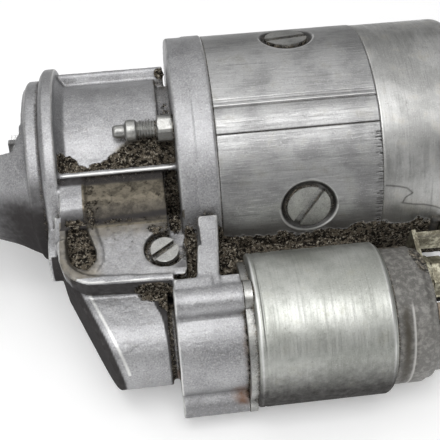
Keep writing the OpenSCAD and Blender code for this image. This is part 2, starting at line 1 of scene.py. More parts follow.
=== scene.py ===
"""Looks of a pre-engaged starter motor with its solenoid alongside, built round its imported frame.

Sizes are in millimetres unless a name says otherwise. The casting's own axes have the shaft at
d = z = 0, d as the distance from the shaft towards the solenoid and z along the lever pivot. An
angle about the shaft starts at the solenoid side and turns towards z.
"""

import json
import logging
import math
from dataclasses import dataclass, field
from enum import Enum
from typing import Callable, Sequence

import bmesh
import bpy
import numpy as np
from mathutils import Matrix, Vector


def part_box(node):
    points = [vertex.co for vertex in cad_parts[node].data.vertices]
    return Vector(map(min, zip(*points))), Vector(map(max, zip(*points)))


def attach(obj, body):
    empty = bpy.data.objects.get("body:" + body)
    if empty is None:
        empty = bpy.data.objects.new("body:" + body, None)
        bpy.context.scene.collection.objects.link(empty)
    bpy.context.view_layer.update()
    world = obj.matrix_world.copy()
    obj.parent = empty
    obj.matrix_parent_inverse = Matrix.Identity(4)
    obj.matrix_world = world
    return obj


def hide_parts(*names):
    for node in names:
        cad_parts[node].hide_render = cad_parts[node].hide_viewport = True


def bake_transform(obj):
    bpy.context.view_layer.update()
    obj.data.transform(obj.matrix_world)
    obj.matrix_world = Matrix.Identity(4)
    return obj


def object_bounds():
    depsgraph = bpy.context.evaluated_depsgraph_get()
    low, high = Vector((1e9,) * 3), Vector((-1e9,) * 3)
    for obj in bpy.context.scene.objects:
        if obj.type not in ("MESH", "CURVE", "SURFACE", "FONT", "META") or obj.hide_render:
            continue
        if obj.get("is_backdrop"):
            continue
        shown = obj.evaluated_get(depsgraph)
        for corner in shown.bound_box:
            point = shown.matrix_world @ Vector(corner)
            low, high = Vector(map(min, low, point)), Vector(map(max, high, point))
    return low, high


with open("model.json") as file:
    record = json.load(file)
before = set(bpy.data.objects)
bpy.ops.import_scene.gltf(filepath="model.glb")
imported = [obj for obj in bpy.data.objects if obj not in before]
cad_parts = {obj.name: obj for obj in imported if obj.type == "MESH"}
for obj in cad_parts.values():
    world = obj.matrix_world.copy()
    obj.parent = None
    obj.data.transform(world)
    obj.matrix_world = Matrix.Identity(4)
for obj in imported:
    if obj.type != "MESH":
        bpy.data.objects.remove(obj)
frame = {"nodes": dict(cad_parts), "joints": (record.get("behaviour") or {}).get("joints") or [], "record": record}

MM = 0.001
LOG = logging.getLogger("starter")

# Distance of a hexagon's flat from its axis, as a share of that of its corner
FLAT_SHARE = math.cos(math.radians(30))
# Degrees turned into radians
DEGREE = math.radians(1)
# Large odd numbers that mix a cell's place and a seed into a random value
CELL_FACTORS = (73856093, 19349663, 83492791)
SEED_FACTOR = 97531
MIX_FACTOR = 1274126177

Colour = tuple[float, float, float]
Feed = bpy.types.NodeSocket | float | Colour
Radius = Callable[[np.ndarray, np.ndarray], np.ndarray]


class Grain(Enum):
    """Which way a finish is brushed."""

    ALONG_SHAFT = (0.035, 1.0, 1.0)
    ROUND_SHAFT = (1.0, 0.03, 0.03)
    NONE = (0.8, 0.8, 0.8)


class Paint(Enum):
    """Values painted on a mesh for its finish to read."""

    GRIME = "grime"
    RUST = "rust"
    WORN = "worn"
    LINE = "line"
    # Painted shade: a dark tone on undersides, grooves and walls turned from the light
    PAINTED_SHADE = "painted_shade"
    STAIN = "stain"


# ---------------------------------------------------------------------------
# Places taken from the frame
# ---------------------------------------------------------------------------


@dataclass(frozen=True)
class Layout:
    """The main places of the starter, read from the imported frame.

    Attributes:
        lean: Angle in radians by which the casting leans on the bench.
        solenoid_d: Distance of the solenoid axis from the shaft.
    """

    lean: float
    solenoid_d: float

    @classmethod
    def from_frame(cls) -> "Layout":
        """Read the layout from the frame's joints and boxes.

        Returns:
            The starter's layout.
        """
        lever = next(j for j in frame["joints"] if j["name"] == "lever_pivot")
        low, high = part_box("solenoid_can")
        centre = (low + high) / 2
        return cls(
            lean=math.atan2(-lever["axis"][1], lever["axis"][2]),
            solenoid_d=math.hypot(centre.y, centre.z) / MM,
        )

    def to_casting(self, points: np.ndarray) -> np.ndarray:
        """Turn points of the row frame into the casting's own axes.

        Args:
            points: Points as rows of x, y and z.

        Returns:
            Rows of x, d and z.
        """
        c, s = math.cos(self.lean), math.sin(self.lean)
        x, y, z = points.T
        return np.stack([x, -(y * c + z * s), z * c - y * s], axis=1)

    def to_bench(self, points: np.ndarray) -> np.ndarray:
        """Turn the casting's own axes into points of the row frame.

        Args:
            points: Rows of x, d and z.

        Returns:
            Points as rows of x, y and z.
        """
        c, s = math.cos(self.lean), math.sin(self.lean)
        x, d, z = points.T
        return np.stack([x, -d * c - z * s, z * c - d * s], axis=1)


PLACES = Layout.from_frame()


@dataclass(frozen=True)
class Seat:
    """Axis along X that a turned piece is built on.

    Attributes:
        angle: Angle in degrees of the axis about the shaft or the solenoid.
        reach: Distance of the axis from the shaft or the solenoid.
        on_solenoid: Whether the angle is about the solenoid.
    """

    angle: float = 0.0
    reach: float = 0.0
    on_solenoid: bool = False

    def place(self, x: np.ndarray, turn: np.ndarray, r: np.ndarray) -> np.ndarray:
        """Place points given about the axis.

        Args:
            x: Places along X.
            turn: Angles in degrees about the axis, from its outer side.
            r: Radii.

        Returns:
            Points as rows in the row frame.
        """
        phi = np.radians(turn)
        d, z = self.reach + r * np.cos(phi), r * np.sin(phi)
        c, s = math.cos(math.radians(self.angle)), math.sin(math.radians(self.angle))
        home = PLACES.solenoid_d if self.on_solenoid else 0.0
        return PLACES.to_bench(np.stack([x, home + d * c - z * s, d * s + z * c], axis=1))


# ---------------------------------------------------------------------------
# Numbers on points
# ---------------------------------------------------------------------------


def ease(value: np.ndarray, low: float, high: float) -> np.ndarray:
    """Rise smoothly from 0 at low to 1 at high."""
    t = np.clip((value - low) / (high - low), 0.0, 1.0)
    return t * t * (3 - 2 * t)


def hump(value: np.ndarray, centre: float, width: float) -> np.ndarray:
    """Rise to 1 at a centre and fall away over a width."""
    return np.exp(-(((value - centre) / width) ** 2))


def flutter(points: np.ndarray, cell: float, seed: int) -> np.ndarray:
    """Give smooth random values that change over a cell size.

    Args:
        points: Points as rows.
        cell: Cell size.
        seed: Number that picks the pattern.

    Returns:
        Values from -1 to 1.
    """
    place = points / cell
    base = np.floor(place).astype(np.int64)
    part = place - base
    part = part * part * (3 - 2 * part)
    total = np.zeros(len(points))
    for corner in range(8):
        step = np.array([corner & 1, corner >> 1 & 1, corner >> 2 & 1])
        mixed = seed * SEED_FACTOR
        for axis, factor in enumerate(CELL_FACTORS):
            mixed = mixed ^ (base[:, axis] + step[axis]) * factor
        mixed = ((mixed ^ (mixed >> 13)) * MIX_FACTOR) & 0xFFFFFFFF
        value = ((mixed ^ (mixed >> 16)) & 0xFFFF) / 32767.5 - 1
        total += value * np.prod(np.where(step, part, 1 - part), axis=1)
    return total


def coarse_grain(points: np.ndarray, cell: float, seed: int) -> np.ndarray:
    """Sum three sizes of flutter into granular values.

    Args:
        points: Points as rows.
        cell: Size of the largest cells.
        seed: Number that picks the pattern.

    Returns:
        Values near -1 to 1.
    """
    return (
        flutter(points, cell, seed)
        + 0.6 * flutter(points, cell / 2.1, seed + 1)
        + 0.4 * flutter(points, cell / 4.3, seed + 2)
    ) / 1.3


def polar(local: np.ndarray, home: float = 0.0) -> tuple[np.ndarray, np.ndarray]:
    """Measure points about an axis along X.

    Args:
        local: Rows of x, d and z.
        home: Distance of the axis from the shaft.

    Returns:
        The radii, and the angles in degrees from the axis's outer side.
    """
    d, z = local[:, 1] - home, local[:, 2]
    return np.hypot(d, z), np.degrees(np.arctan2(z, d))


@dataclass(frozen=True)
class Patch:
    """Rounded region of dirt in the casting's own axes.

    Attributes:
        centre: Middle as x, d and z.
        reach: Half sizes along x, d and z.
        amount: Strength from 0 to 1.
    """

    centre: tuple[float, float, float]
    reach: tuple[float, float, float]
    amount: float = 1.0

    def on(self, points: np.ndarray) -> np.ndarray:
        """Return the patch's strength at rows of x, d and z."""
        far = np.linalg.norm((points - np.array(self.centre)) / np.array(self.reach), axis=1)
        return self.amount * (1 - ease(far, 0.65, 1.25))


def lay_patches(points: np.ndarray, patches: Sequence[Patch], seed: int) -> np.ndarray:
    """Lay patches of dirt with ragged edges.

    Args:
        points: Rows of x, d and z.
        patches: The patches.
        seed: Number that picks the raggedness.

    Returns:
        Strengths from 0 to 1.
    """
    total = np.zeros(len(points))
    for patch in patches:
        total = np.maximum(total, patch.on(points))
    ragged = 0.35 * coarse_grain(points, 2.6, seed)
    return np.where(total > 0.01, np.clip(total + ragged * np.minimum(1, total * 3), 0, 1), 0.0)


# ---------------------------------------------------------------------------
# Material graphs
# ---------------------------------------------------------------------------


class Graph:
    """Node graph of one material, wired with short calls."""

    def __init__(self, name: str) -> None:
        """Start a material with a bare shader.

        Args:
            name: Name of the material.
        """
        self.material = bpy.data.materials.new(name)
        self.material.use_nodes = True
        self.tree = self.material.node_tree
        self.shader = self.tree.nodes["Principled BSDF"]
        coords = self.tree.nodes.new("ShaderNodeTexCoord")
        scale = self.tree.nodes.new("ShaderNodeVectorMath")
        scale.operation = "SCALE"
        scale.inputs["Scale"].default_value = 1.0 / MM
        self.tree.links.new(coords.outputs["Object"], scale.inputs[0])
        self.place = scale.outputs[0]

    def link(self, source: bpy.types.NodeSocket, target: bpy.types.NodeSocket) -> None:
        """Join an output to an input."""
        self.tree.links.new(source, target)

    def feed(self, socket: bpy.types.NodeSocket, value: Feed) -> None:
        """Set a socket to a number or colour, or link it to an output.

        Args:
            socket: Input to set.
            value: Number, colour or output.
        """
        if isinstance(value, bpy.types.NodeSocket):
            self.tree.links.new(value, socket)
        elif isinstance(value, tuple) and len(value) == 3 and socket.type == "RGBA":
            socket.default_value = (*value, 1.0)
        else:
            socket.default_value = value

    def stretch(self, factors: tuple[float, float, float]) -> bpy.types.NodeSocket:
        """Scale the place in millimetres along each axis.

        Args:
            factors: Scale along x, y and z.

        Returns:
            The scaled place.
        """
        node = self.tree.nodes.new("ShaderNodeVectorMath")
        node.operation = "MULTIPLY"
        self.link(self.place, node.inputs[0])
        node.inputs[1].default_value = factors
        return node.outputs[0]

    def noise(
        self,
        scale: float,
        detail: float = 3.0,
        rough: float = 0.55,
        vector: bpy.types.NodeSocket | None = None,
    ) -> bpy.types.NodeSocket:
        """Add a noise texture.

        Args:
            scale: Cells for each millimetre.
            detail: Octaves.
            rough: Roughness of the octaves.
            vector: Place to read, or None for the plain place.

        Returns:
            The noise's value, from 0 to 1.
        """
        node = self.tree.nodes.new("ShaderNodeTexNoise")
        node.inputs["Scale"].default_value = scale
        node.inputs["Detail"].default_value = detail
        node.inputs["Roughness"].default_value = rough
        self.link(vector if vector is not None else self.place, node.inputs["Vector"])
        return node.outputs["Fac"]

    def ramp(
        self, value: Feed, low: float, high: float, start: float = 0.0, end: float = 1.0
    ) -> bpy.types.NodeSocket:
        """Map a value with a smooth step.

        Args:
            value: The value.
            low: Value that gives the start.
            high: Value that gives the end.
            start: Result at low.
            end: Result at high.

        Returns:
            The mapped value.
        """
        node = self.tree.nodes.new("ShaderNodeMapRange")
        node.interpolation_type = "SMOOTHSTEP"
        self.feed(node.inputs["Value"], value)
        node.inputs["From Min"].default_value = low
        node.inputs["From Max"].default_value = high
        node.inputs["To Min"].default_value = start
        node.inputs["To Max"].default_value = end
        return node.outputs["Result"]

    def sum(self, operation: str, a: Feed, b: Feed) -> bpy.types.NodeSocket:
        """Work out a sum of two values.

        Args:
            operation: Name of the operation.
            a: First value.
            b: Second value.

        Returns:
            The result.
        """
        node = self.tree.nodes.new("ShaderNodeMath")
        node.operation = operation
        self.feed(node.inputs[0], a)
        self.feed(node.inputs[1], b)
        return node.outputs[0]

    def blend(self, share: Feed, a: Feed, b: Feed) -> bpy.types.NodeSocket:
        """Mix two colours.

        Args:
            share: Share of the second colour, from 0 to 1.
            a: First colour.
            b: Second colour.

        Returns:
            The mixed colour.
        """
        node = self.tree.nodes.new("ShaderNodeMix")
        node.data_type = "RGBA"
        self.feed(node.inputs[0], share)
        self.feed(node.inputs[6], a)
        self.feed(node.inputs[7], b)
        return node.outputs[2]

    def hollow(self, distance: float) -> bpy.types.NodeSocket:
        """Find how enclosed the surface is.

        Args:
            distance: Distance over which other surfaces count.

        Returns:
            Value from 0 in the open to 1 in a crevice.
        """
        node = self.tree.nodes.new("ShaderNodeAmbientOcclusion")
        node.samples = 5
        node.inputs["Distance"].default_value = distance * MM
        return self.sum("SUBTRACT", 1.0, node.outputs["AO"])

    def paint(self, paint: Paint) -> bpy.types.NodeSocket:
        """Read a value painted on the mesh.

        Args:
            paint: Which value.

        Returns:
            The value.
        """
        node = self.tree.nodes.new("ShaderNodeAttribute")
        node.attribute_name = paint.value
        return node.outputs["Fac"]

    def bump(
        self, height: bpy.types.NodeSocket, depth: float, under: bpy.types.NodeSocket | None = None
    ) -> bpy.types.NodeSocket:
        """Raise the surface by a height from 0 to 1 times a depth.

        Args:
            height: The height.
            depth: Depth in millimetres.
            under: Normal of the surface below, or None for the bare one.

        Returns:
            The new normal.
        """
        node = self.tree.nodes.new("ShaderNodeBump")
        node.inputs["Distance"].default_value = depth * MM
        self.link(height, node.inputs["Height"])
        if under is not None:
            self.link(under, node.inputs["Normal"])
        return node.outputs["Normal"]

    def close(
        self, colour: Feed, metallic: Feed, roughness: Feed, normal: bpy.types.NodeSocket, gloss: Feed = 0.5
    ) -> bpy.types.Material:
        """Feed the shader.

        Args:
            colour: Base colour.
            metallic: How metallic it is.
            roughness: How rough it is.
            normal: Normal of the surface.
            gloss: Strength of the gloss of a surface that isn't metallic.

        Returns:
            The finished material.
        """
        self.feed(self.shader.inputs["Base Color"], colour)
        self.feed(self.shader.inputs["Metallic"], metallic)
        self.feed(self.shader.inputs["Roughness"], roughness)
        self.feed(self.shader.inputs["Specular IOR Level"], gloss)
        self.link(normal, self.shader.inputs["Normal"])
        return self.material


SOOT: Colour = (0.014, 0.012, 0.010)
SILT: Colour = (0.150, 0.127, 0.096)
GRIT: Colour = (0.42, 0.38, 0.31)
# Dark tone that painted shade blends towards
SHADE_TONE: Colour = (0.046, 0.043, 0.043)
UMBER: Colour = (0.185, 0.162, 0.122)
LOAM: Colour = (0.092, 0.080, 0.058)
RUST: Colour = (0.20, 0.085, 0.030)


def stippled(g: Graph, dirt: Feed) -> bpy.types.NodeSocket:
    """Break the edge of dirt up into specks."""
    fleck = g.sum("MULTIPLY", g.sum("SUBTRACT", g.noise(1.5, 3.0, 0.7), 0.5), 1.15)
    return g.ramp(g.sum("ADD", dirt, fleck), 0.34, 0.60)


def soiled(g: Graph, base: Feed, dirt: Feed) -> bpy.types.NodeSocket:
    """Cover a colour with granular oily dirt.

    Args:
        g: Graph to add to.
        base: Colour of the clean surface.
        dirt: Amount of dirt from 0 to 1.

    Returns:
        The soiled colour.
    """
    soil = g.blend(g.ramp(g.noise(0.65, 4.0, 0.7), 0.45, 0.60), SOOT, SILT)
    soil = g.blend(g.ramp(g.noise(1.15, 3.0, 0.72), 0.56, 0.62), soil, GRIT)
    return g.blend(dirt, base, soil)


def uneven(g: Graph, paint: Paint) -> bpy.types.NodeSocket:
    """Return a painted share with uneven edges."""
    sway = g.sum("MULTIPLY", g.sum("SUBTRACT", g.noise(0.45, 4.0, 0.7), 0.5), 0.40)
    return g.ramp(g.sum("ADD", g.paint(paint), sway), 0.14, 1.0)


@dataclass(frozen=True)
class CastMetal:
    """Sand-textured cast aluminium with oily grime in its hollows and painted shade.

    Attributes:
        name: Name of the finish.
        pale: Colour of rubbed metal.
        dull: Colour of oxidised metal.
        sand: Depth of the sand grain.
        soil_reach: Distance over which hollows gather dirt.
    """

    name: str
    pale: Colour = (0.42, 0.42, 0.43)
    dull: Colour = (0.315, 0.315, 0.325)
    sand: float = 0.10
    soil_reach: float = 6.0

    def make(self) -> bpy.types.Material:
        """Build the material.

        Returns:
            The material.
        """
        g = Graph(self.name)
        mottle = g.noise(0.10, 4.0, 0.62)
        blotch = g.noise(0.42, 4.0, 0.68)
        sand = g.noise(1.8, 3.0, 0.72)
        base = g.blend(g.ramp(mottle, 0.30, 0.72), self.dull, self.pale)
        base = g.blend(g.ramp(blotch, 0.54, 0.74, 0.0, 0.30), base, (0.22, 0.205, 0.18))
        base = g.blend(g.ramp(sand, 0.50, 0.70, 0.0, 0.50), base, (0.72, 0.72, 0.71))
        base = g.blend(g.ramp(sand, 0.48, 0.32, 0.0, 0.50), base, (0.15, 0.145, 0.14))
        base = g.blend(g.ramp(g.paint(Paint.WORN), 0.15, 0.75, 0.0, 0.75), base, (0.84, 0.84, 0.82))
        base = g.blend(g.paint(Paint.RUST), base, RUST)
        painted_shade = uneven(g, Paint.PAINTED_SHADE)
        earth = g.blend(g.ramp(g.noise(0.30, 4.0, 0.7), 0.44, 0.60), UMBER, LOAM)
        base = g.blend(uneven(g, Paint.STAIN), base, earth)
        # Painted shade: darken towards the shade tone where the mesh carries painted shade
        base = g.blend(painted_shade, base, SHADE_TONE)
        hollow = g.ramp(g.hollow(self.soil_reach), 0.26, 0.74)
        dirt = g.sum("MULTIPLY", hollow, g.ramp(g.noise(0.55, 4.0, 0.68), 0.30, 0.58, 0.25, 1.0))
        dirt = stippled(g, g.sum("MAXIMUM", dirt, g.paint(Paint.GRIME)))
        colour = soiled(g, base, dirt)
        cover = g.sum("MAXIMUM", dirt, painted_shade)
        metallic = g.ramp(cover, 0.1, 0.8, 0.86, 0.0)
        rough = g.sum("ADD", g.ramp(sand, 0.25, 0.75, 0.38, 0.54), g.ramp(cover, 0.0, 1.0, 0.0, 0.34))
        normal = g.bump(sand, self.sand)
        normal = g.bump(blotch, 0.12, normal)
        normal = g.bump(g.sum("MULTIPLY", g.noise(1.7, 4.0, 0.75), dirt), 0.7, normal)
        return g.close(colour, metallic, rough, normal, g.ramp(cover, 0.1, 0.8, 0.5, 0.02))


@dataclass(frozen=True)
class BrushedMetal:
    """Bare metal with brush marks, stains, light soiling and painted shade.

    Attributes:
        name: Name of the finish.
        pale: Colour of bright metal.
        dull: Colour of stained metal.
        tint: Colour of faint stains.
        grain: Direction of the brush marks.
        roughness: Middle roughness.
        marks: Depth of the brush marks.
        streak: How strongly the brush marks change the colour, from 0 to 1.
        soil_reach: Distance over which hollows gather dirt.
        soil_from: How enclosed a place is where dirt starts; set low, it also paints shade into narrow hollows
            such as a screw slot.
    """

    name: str
    pale: Colour = (0.50, 0.50, 0.50)
    dull: Colour = (0.30, 0.30, 0.30)
    tint: Colour = (0.26, 0.24, 0.19)
    grain: Grain = Grain.ALONG_SHAFT
    roughness: float = 0.36
    marks: float = 0.012
    streak: float = 1.0
    soil_reach: float = 3.5
    soil_from: float = 0.30

    def make(self) -> bpy.types.Material:
        """Build the material.

        Returns:
            The material.
        """
        g = Graph(self.name)
        along = g.stretch(self.grain.value)
        fine = g.noise(5.0, 2.0, 0.6, along)
        coarse = g.noise(1.3, 3.0, 0.62, along)
        mottle = g.noise(0.08, 4.0, 0.62)
        speck = g.noise(1.9, 3.0, 0.72)
        base = g.blend(g.ramp(mottle, 0.36, 0.64), self.dull, self.pale)
        base = g.blend(g.ramp(g.noise(0.16, 4.0, 0.7), 0.52, 0.72, 0.0, 0.4), base, self.tint)
        base = g.blend(g.ramp(fine, 0.48, 0.74, 0.0, 0.5 * self.streak), base, (0.74, 0.74, 0.73))
        base = g.blend(g.ramp(coarse, 0.56, 0.72, 0.0, 0.5 * self.streak), base, (0.17, 0.17, 0.165))
        base = g.blend(g.ramp(speck, 0.56, 0.72, 0.0, 0.45), base, (0.15, 0.145, 0.13))
        base = g.blend(g.ramp(speck, 0.44, 0.30, 0.0, 0.35), base, (0.70, 0.70, 0.69))
        base = g.blend(g.ramp(g.paint(Paint.WORN), 0.1, 0.8, 0.0, 0.7), base, (0.86, 0.86, 0.85))
        base = g.blend(g.paint(Paint.RUST), base, RUST)
        # Painted shade over the painted dark lines: darken towards the shade tone where the mesh carries it
        painted_shade = uneven(g, Paint.PAINTED_SHADE)
        base = g.blend(painted_shade, g.blend(g.paint(Paint.LINE), base, SOOT), SHADE_TONE)
        hollow = g.ramp(g.hollow(self.soil_reach), self.soil_from, self.soil_from + 0.45)
        dirt = g.sum("MULTIPLY", hollow, g.ramp(g.noise(0.6, 4.0, 0.65), 0.28, 0.55, 0.35, 1.0))
        dirt = stippled(g, g.sum("MAXIMUM", dirt, g.paint(Paint.GRIME)))
        colour = soiled(g, base, dirt)
        cover = g.sum("MAXIMUM", dirt, painted_shade)
        metallic = g.ramp(cover, 0.1, 0.8, 0.95, 0.0)
        rough = g.ramp(coarse, 0.3, 0.7, self.roughness - 0.07, self.roughness + 0.1)
        rough = g.sum("ADD", rough, g.ramp(cover, 0.0, 1.0, 0.0, 0.34))
        normal = g.bump(fine, self.marks)
        normal = g.bump(coarse, self.marks * 2, normal)
        normal = g.bump(speck, 0.05, normal)
        normal = g.bump(g.sum("MULTIPLY", g.noise(1.7, 4.0, 0.75), dirt), 0.7, normal)
        return g.close(colour, metallic, rough, normal, g.ramp(cover, 0.1, 0.8, 0.5, 0.02))


@dataclass(frozen=True)
class MixedFinish:
    """Even finish with mottling, for moulded, rubber, wound and plated pieces.

    Attributes:
        name: Name of the finish.
        colour: Main colour.
        worn: Colour of worn patches.
        metallic: How metallic it is.
        roughness: Middle roughness.
        grain: Depth of the surface grain.
        speckle: Share of fine worn specks.
        soil_reach: Distance over which hollows gather dirt.
    """

    name: str
    colour: Colour
    worn: Colour
    metallic: float = 0.0
    roughness: float = 0.5
    grain: float = 0.05
    speckle: float = 0.5
    soil_reach: float = 2.5

    def make(self) -> bpy.types.Material:
        """Build the material.

        Returns:
            The material.
        """
        g = Graph(self.name)
        mottle = g.noise(0.55, 4.0, 0.68)
        speck = g.noise(1.8, 3.0, 0.72)
        colour = g.blend(g.ramp(mottle, 0.42, 0.66), self.colour, self.worn)
        colour = g.blend(g.ramp(speck, 0.56, 0.70, 0.0, self.speckle), colour, self.worn)
        colour = g.blend(g.ramp(g.paint(Paint.WORN), 0.1, 0.8, 0.0, 0.8), colour, (0.55, 0.54, 0.52))
        colour = g.blend(uneven(g, Paint.STAIN), colour, (0.045, 0.038, 0.026))
        dirt = g.ramp(g.hollow(self.soil_reach), 0.30, 0.80)
        dirt = stippled(g, g.sum("MAXIMUM", dirt, g.paint(Paint.GRIME)))
        colour = soiled(g, colour, dirt)
        rough = g.ramp(speck, 0.3, 0.7, self.roughness - 0.07, self.roughness + 0.12)
        normal = g.bump(speck, self.grain)
        normal = g.bump(mottle, self.grain, normal)
        return g.close(colour, self.metallic, rough, normal)


@dataclass
class FinishShelf:
    """All finishes, made once and picked by their slot name.

    Attributes:
        made: The finished materials by slot.
    """

    made: dict[str, bpy.types.Material] = field(default_factory=dict)

    def recipes(self) -> list[CastMetal | BrushedMetal | MixedFinish]:
        """List the recipes.

        Returns:
            One recipe for each slot.
        """
        return [
            CastMetal("cast_aluminium"),
            BrushedMetal("turned_aluminium", (0.54, 0.54, 0.53), (0.36, 0.36, 0.35), (0.38, 0.35, 0.27),
                         Grain.ROUND_SHAFT, roughness=0.40, marks=0.005, streak=0.45),
            BrushedMetal("yoke_steel", (0.42, 0.42, 0.42), (0.28, 0.28, 0.28), (0.25, 0.24, 0.20),
                         Grain.ALONG_SHAFT, roughness=0.42, marks=0.012, streak=0.7),
            BrushedMetal("can_steel", (0.54, 0.55, 0.52), (0.38, 0.39, 0.36), (0.31, 0.31, 0.24),
                         Grain.ROUND_SHAFT, roughness=0.44, marks=0.0015, streak=0.25),
            # Screw steel's low soil_from puts painted shade on the floor of the pivot screw's slot, along with
            # dirt
            BrushedMetal("screw_steel", (0.46, 0.46, 0.44), (0.27, 0.27, 0.26), (0.20, 0.17, 0.12),
                         Grain.NONE, roughness=0.38, marks=0.02, streak=0.8, soil_reach=2.4, soil_from=0.16),
            BrushedMetal("ground_steel", (0.52, 0.52, 0.52), (0.34, 0.34, 0.34), (0.24, 0.20, 0.14),
                         Grain.ROUND_SHAFT, roughness=0.26, marks=0.006),
            BrushedMetal("forged_steel", (0.20, 0.195, 0.19), (0.10, 0.098, 0.095), (0.14, 0.10, 0.06),
                         Grain.NONE, roughness=0.50, marks=0.04),
            BrushedMetal("soft_iron", (0.26, 0.26, 0.26), (0.15, 0.15, 0.15), (0.17, 0.12, 0.08),
                         Grain.NONE, roughness=0.46, marks=0.02),
            BrushedMetal("spring_steel", (0.30, 0.30, 0.30), (0.16, 0.16, 0.16), (0.14, 0.12, 0.09),
                         Grain.NONE, roughness=0.36, marks=0.01),
            MixedFinish("bronze", (0.42, 0.27, 0.12), (0.30, 0.19, 0.09),
                        metallic=0.9, roughness=0.42, grain=0.03),
            MixedFinish("copper", (0.52, 0.25, 0.14), (0.30, 0.14, 0.08),
                        metallic=0.95, roughness=0.36, grain=0.02),
            MixedFinish("copper_wire", (0.30, 0.11, 0.05), (0.17, 0.065, 0.03),
                        metallic=0.5, roughness=0.42, grain=0.08),
            MixedFinish("brass_plate", (0.17, 0.155, 0.112), (0.52, 0.50, 0.39),
                        metallic=0.85, roughness=0.40, grain=0.06, speckle=0.85),
            MixedFinish("laminate", (0.19, 0.145, 0.105), (0.30, 0.25, 0.20), roughness=0.52, grain=0.03),
            MixedFinish("carbon", (0.030, 0.029, 0.028), (0.06, 0.058, 0.055),
                        metallic=0.2, roughness=0.48, grain=0.03),
            MixedFinish("cap_moulding", (0.112, 0.108, 0.100), (0.235, 0.228, 0.212),
                        metallic=0.15, roughness=0.48, grain=0.07, speckle=0.75),
            MixedFinish("grommet_rubber", (0.030, 0.029, 0.027), (0.085, 0.078, 0.065),
                        roughness=0.66, grain=0.06),
        ]

    def stock(self) -> None:
        """Make every finish."""
        for recipe in self.recipes():
            self.made[recipe.name] = recipe.make()

    def __getitem__(self, slot: str) -> bpy.types.Material:
        """Return the finish of a slot."""
        return self.made[slot]


FINISHES = FinishShelf()


# ---------------------------------------------------------------------------
# Shapes
# ---------------------------------------------------------------------------


class Blank:
    """Mesh in the making, in millimetres of the row frame."""

    def __init__(self, name: str) -> None:
        """Start an empty blank.

        Args:
            name: Name of the piece that it becomes.
        """
        self.name = name
        self.points: list[np.ndarray] = []
        self.faces: list[np.ndarray] = []
        self.count = 0

    def sheet(self, grid: np.ndarray, closed_rows: bool = False) -> None:
        """Add a grid of points as four-sided faces, closed round its columns.

        Args:
            grid: Points, as rows by columns by three.
            closed_rows: Whether the last row joins the first.
        """
        rows, columns = grid.shape[:2]
        index = np.arange(rows * columns).reshape(rows, columns) + self.count
        near = index if closed_rows else index[:-1]
        far = np.roll(index, -1, axis=0) if closed_rows else index[1:]
        quads = [near, np.roll(near, -1, axis=1), np.roll(far, -1, axis=1), far]
        self.faces.append(np.stack([q.ravel() for q in quads], axis=1))
        self.points.append(grid.reshape(-1, 3))
        self.count += rows * columns

    def turned(
        self,
        seat: Seat,
        along: Sequence[float],
        turns: Sequence[float],
        radius: Radius,
        bore: Sequence[tuple[float, float]],
    ) -> None:
        """Add a turned body whose radius may change with place and angle.

        Args:
            seat: Axis of the body.
            along: Rising places along X of the outer surface.
            turns: Rising angles in degrees round the axis.
            radius: Outer radius from grids of place and angle.
            bore: Inner outline as x and radius, from the far end back to the near end.
        """
        x, a = np.meshgrid(np.asarray(along, float), np.asarray(turns, float), indexing="ij")
        r = radius(x, a)
        inner_x = np.array([p[0] for p in bore], float)[:, None] + np.zeros((1, len(turns)))
        inner_r = np.array([p[1] for p in bore], float)[:, None] + np.zeros((1, len(turns)))
        x = np.concatenate([x, inner_x])
        r = np.concatenate([r, inner_r])
        a = np.concatenate([a, np.zeros_like(inner_x) + np.asarray(turns, float)[None, :]])
        points = seat.place(x.ravel(), a.ravel(), r.ravel()).reshape(*x.shape, 3)
        self.sheet(points, closed_rows=True)

    def finish(self) -> bpy.types.Object:
        """Turn the blank into an object with smooth faces.

        Returns:
            The object, linked to the scene.
        """
        mesh = bpy.data.meshes.new(self.name)
        points = np.concatenate(self.points) * MM
        mesh.from_pydata(points.tolist(), [], np.concatenate(self.faces).tolist())
        obj = bpy.data.objects.new(self.name, mesh)
        bpy.context.scene.collection.objects.link(obj)
        tidy_mesh(obj)
        shade(obj)
        return obj


def tidy_mesh(obj: bpy.types.Object) -> None:
    """Join doubled points, drop flat scraps and face every surface outwards.

    Args:
        obj: The piece.
    """
    bm = bmesh.new()
    bm.from_mesh(obj.data)
    bmesh.ops.remove_doubles(bm, verts=bm.verts, dist=2e-6)
    bmesh.ops.dissolve_degenerate(bm, edges=bm.edges, dist=1e-7)
    bmesh.ops.recalc_face_normals(bm, faces=bm.faces)
    bm.to_mesh(obj.data)
    bm.free()


def settle(obj: bpy.types.Object) -> None:
    """Apply all modifiers of a piece.

    Args:
        obj: The piece.
    """
    graph = bpy.context.evaluated_depsgraph_get()
    mesh = bpy.data.meshes.new_from_object(obj.evaluated_get(graph))
    obj.modifiers.clear()
    old = obj.data
    obj.data = mesh
    bpy.data.meshes.remove(old)


def shade(obj: bpy.types.Object) -> None:
    """Shade a piece's faces smooth."""
    obj.data.polygons.foreach_set("use_smooth", [True] * len(obj.data.polygons))


def dress(obj: bpy.types.Object, material: bpy.types.Material) -> None:
    """Put one material on every slot of a piece.

    Args:
        obj: The piece.
        material: Its material.
    """
    if not obj.data.materials:
        obj.data.materials.append(material)
    for slot in obj.material_slots:
        slot.material = material


def copy_of(node: str, name: str) -> bpy.types.Object:
    """Copy a frame node into a new piece with its doubled points joined.

    Args:
        node: Name of the node.
        name: Name of the piece.

    Returns:
        The piece.
    """
    obj = bpy.data.objects.new(name, frame["nodes"][node].data.copy())
    bpy.context.scene.collection.objects.link(obj)
    tidy_mesh(obj)
    return obj


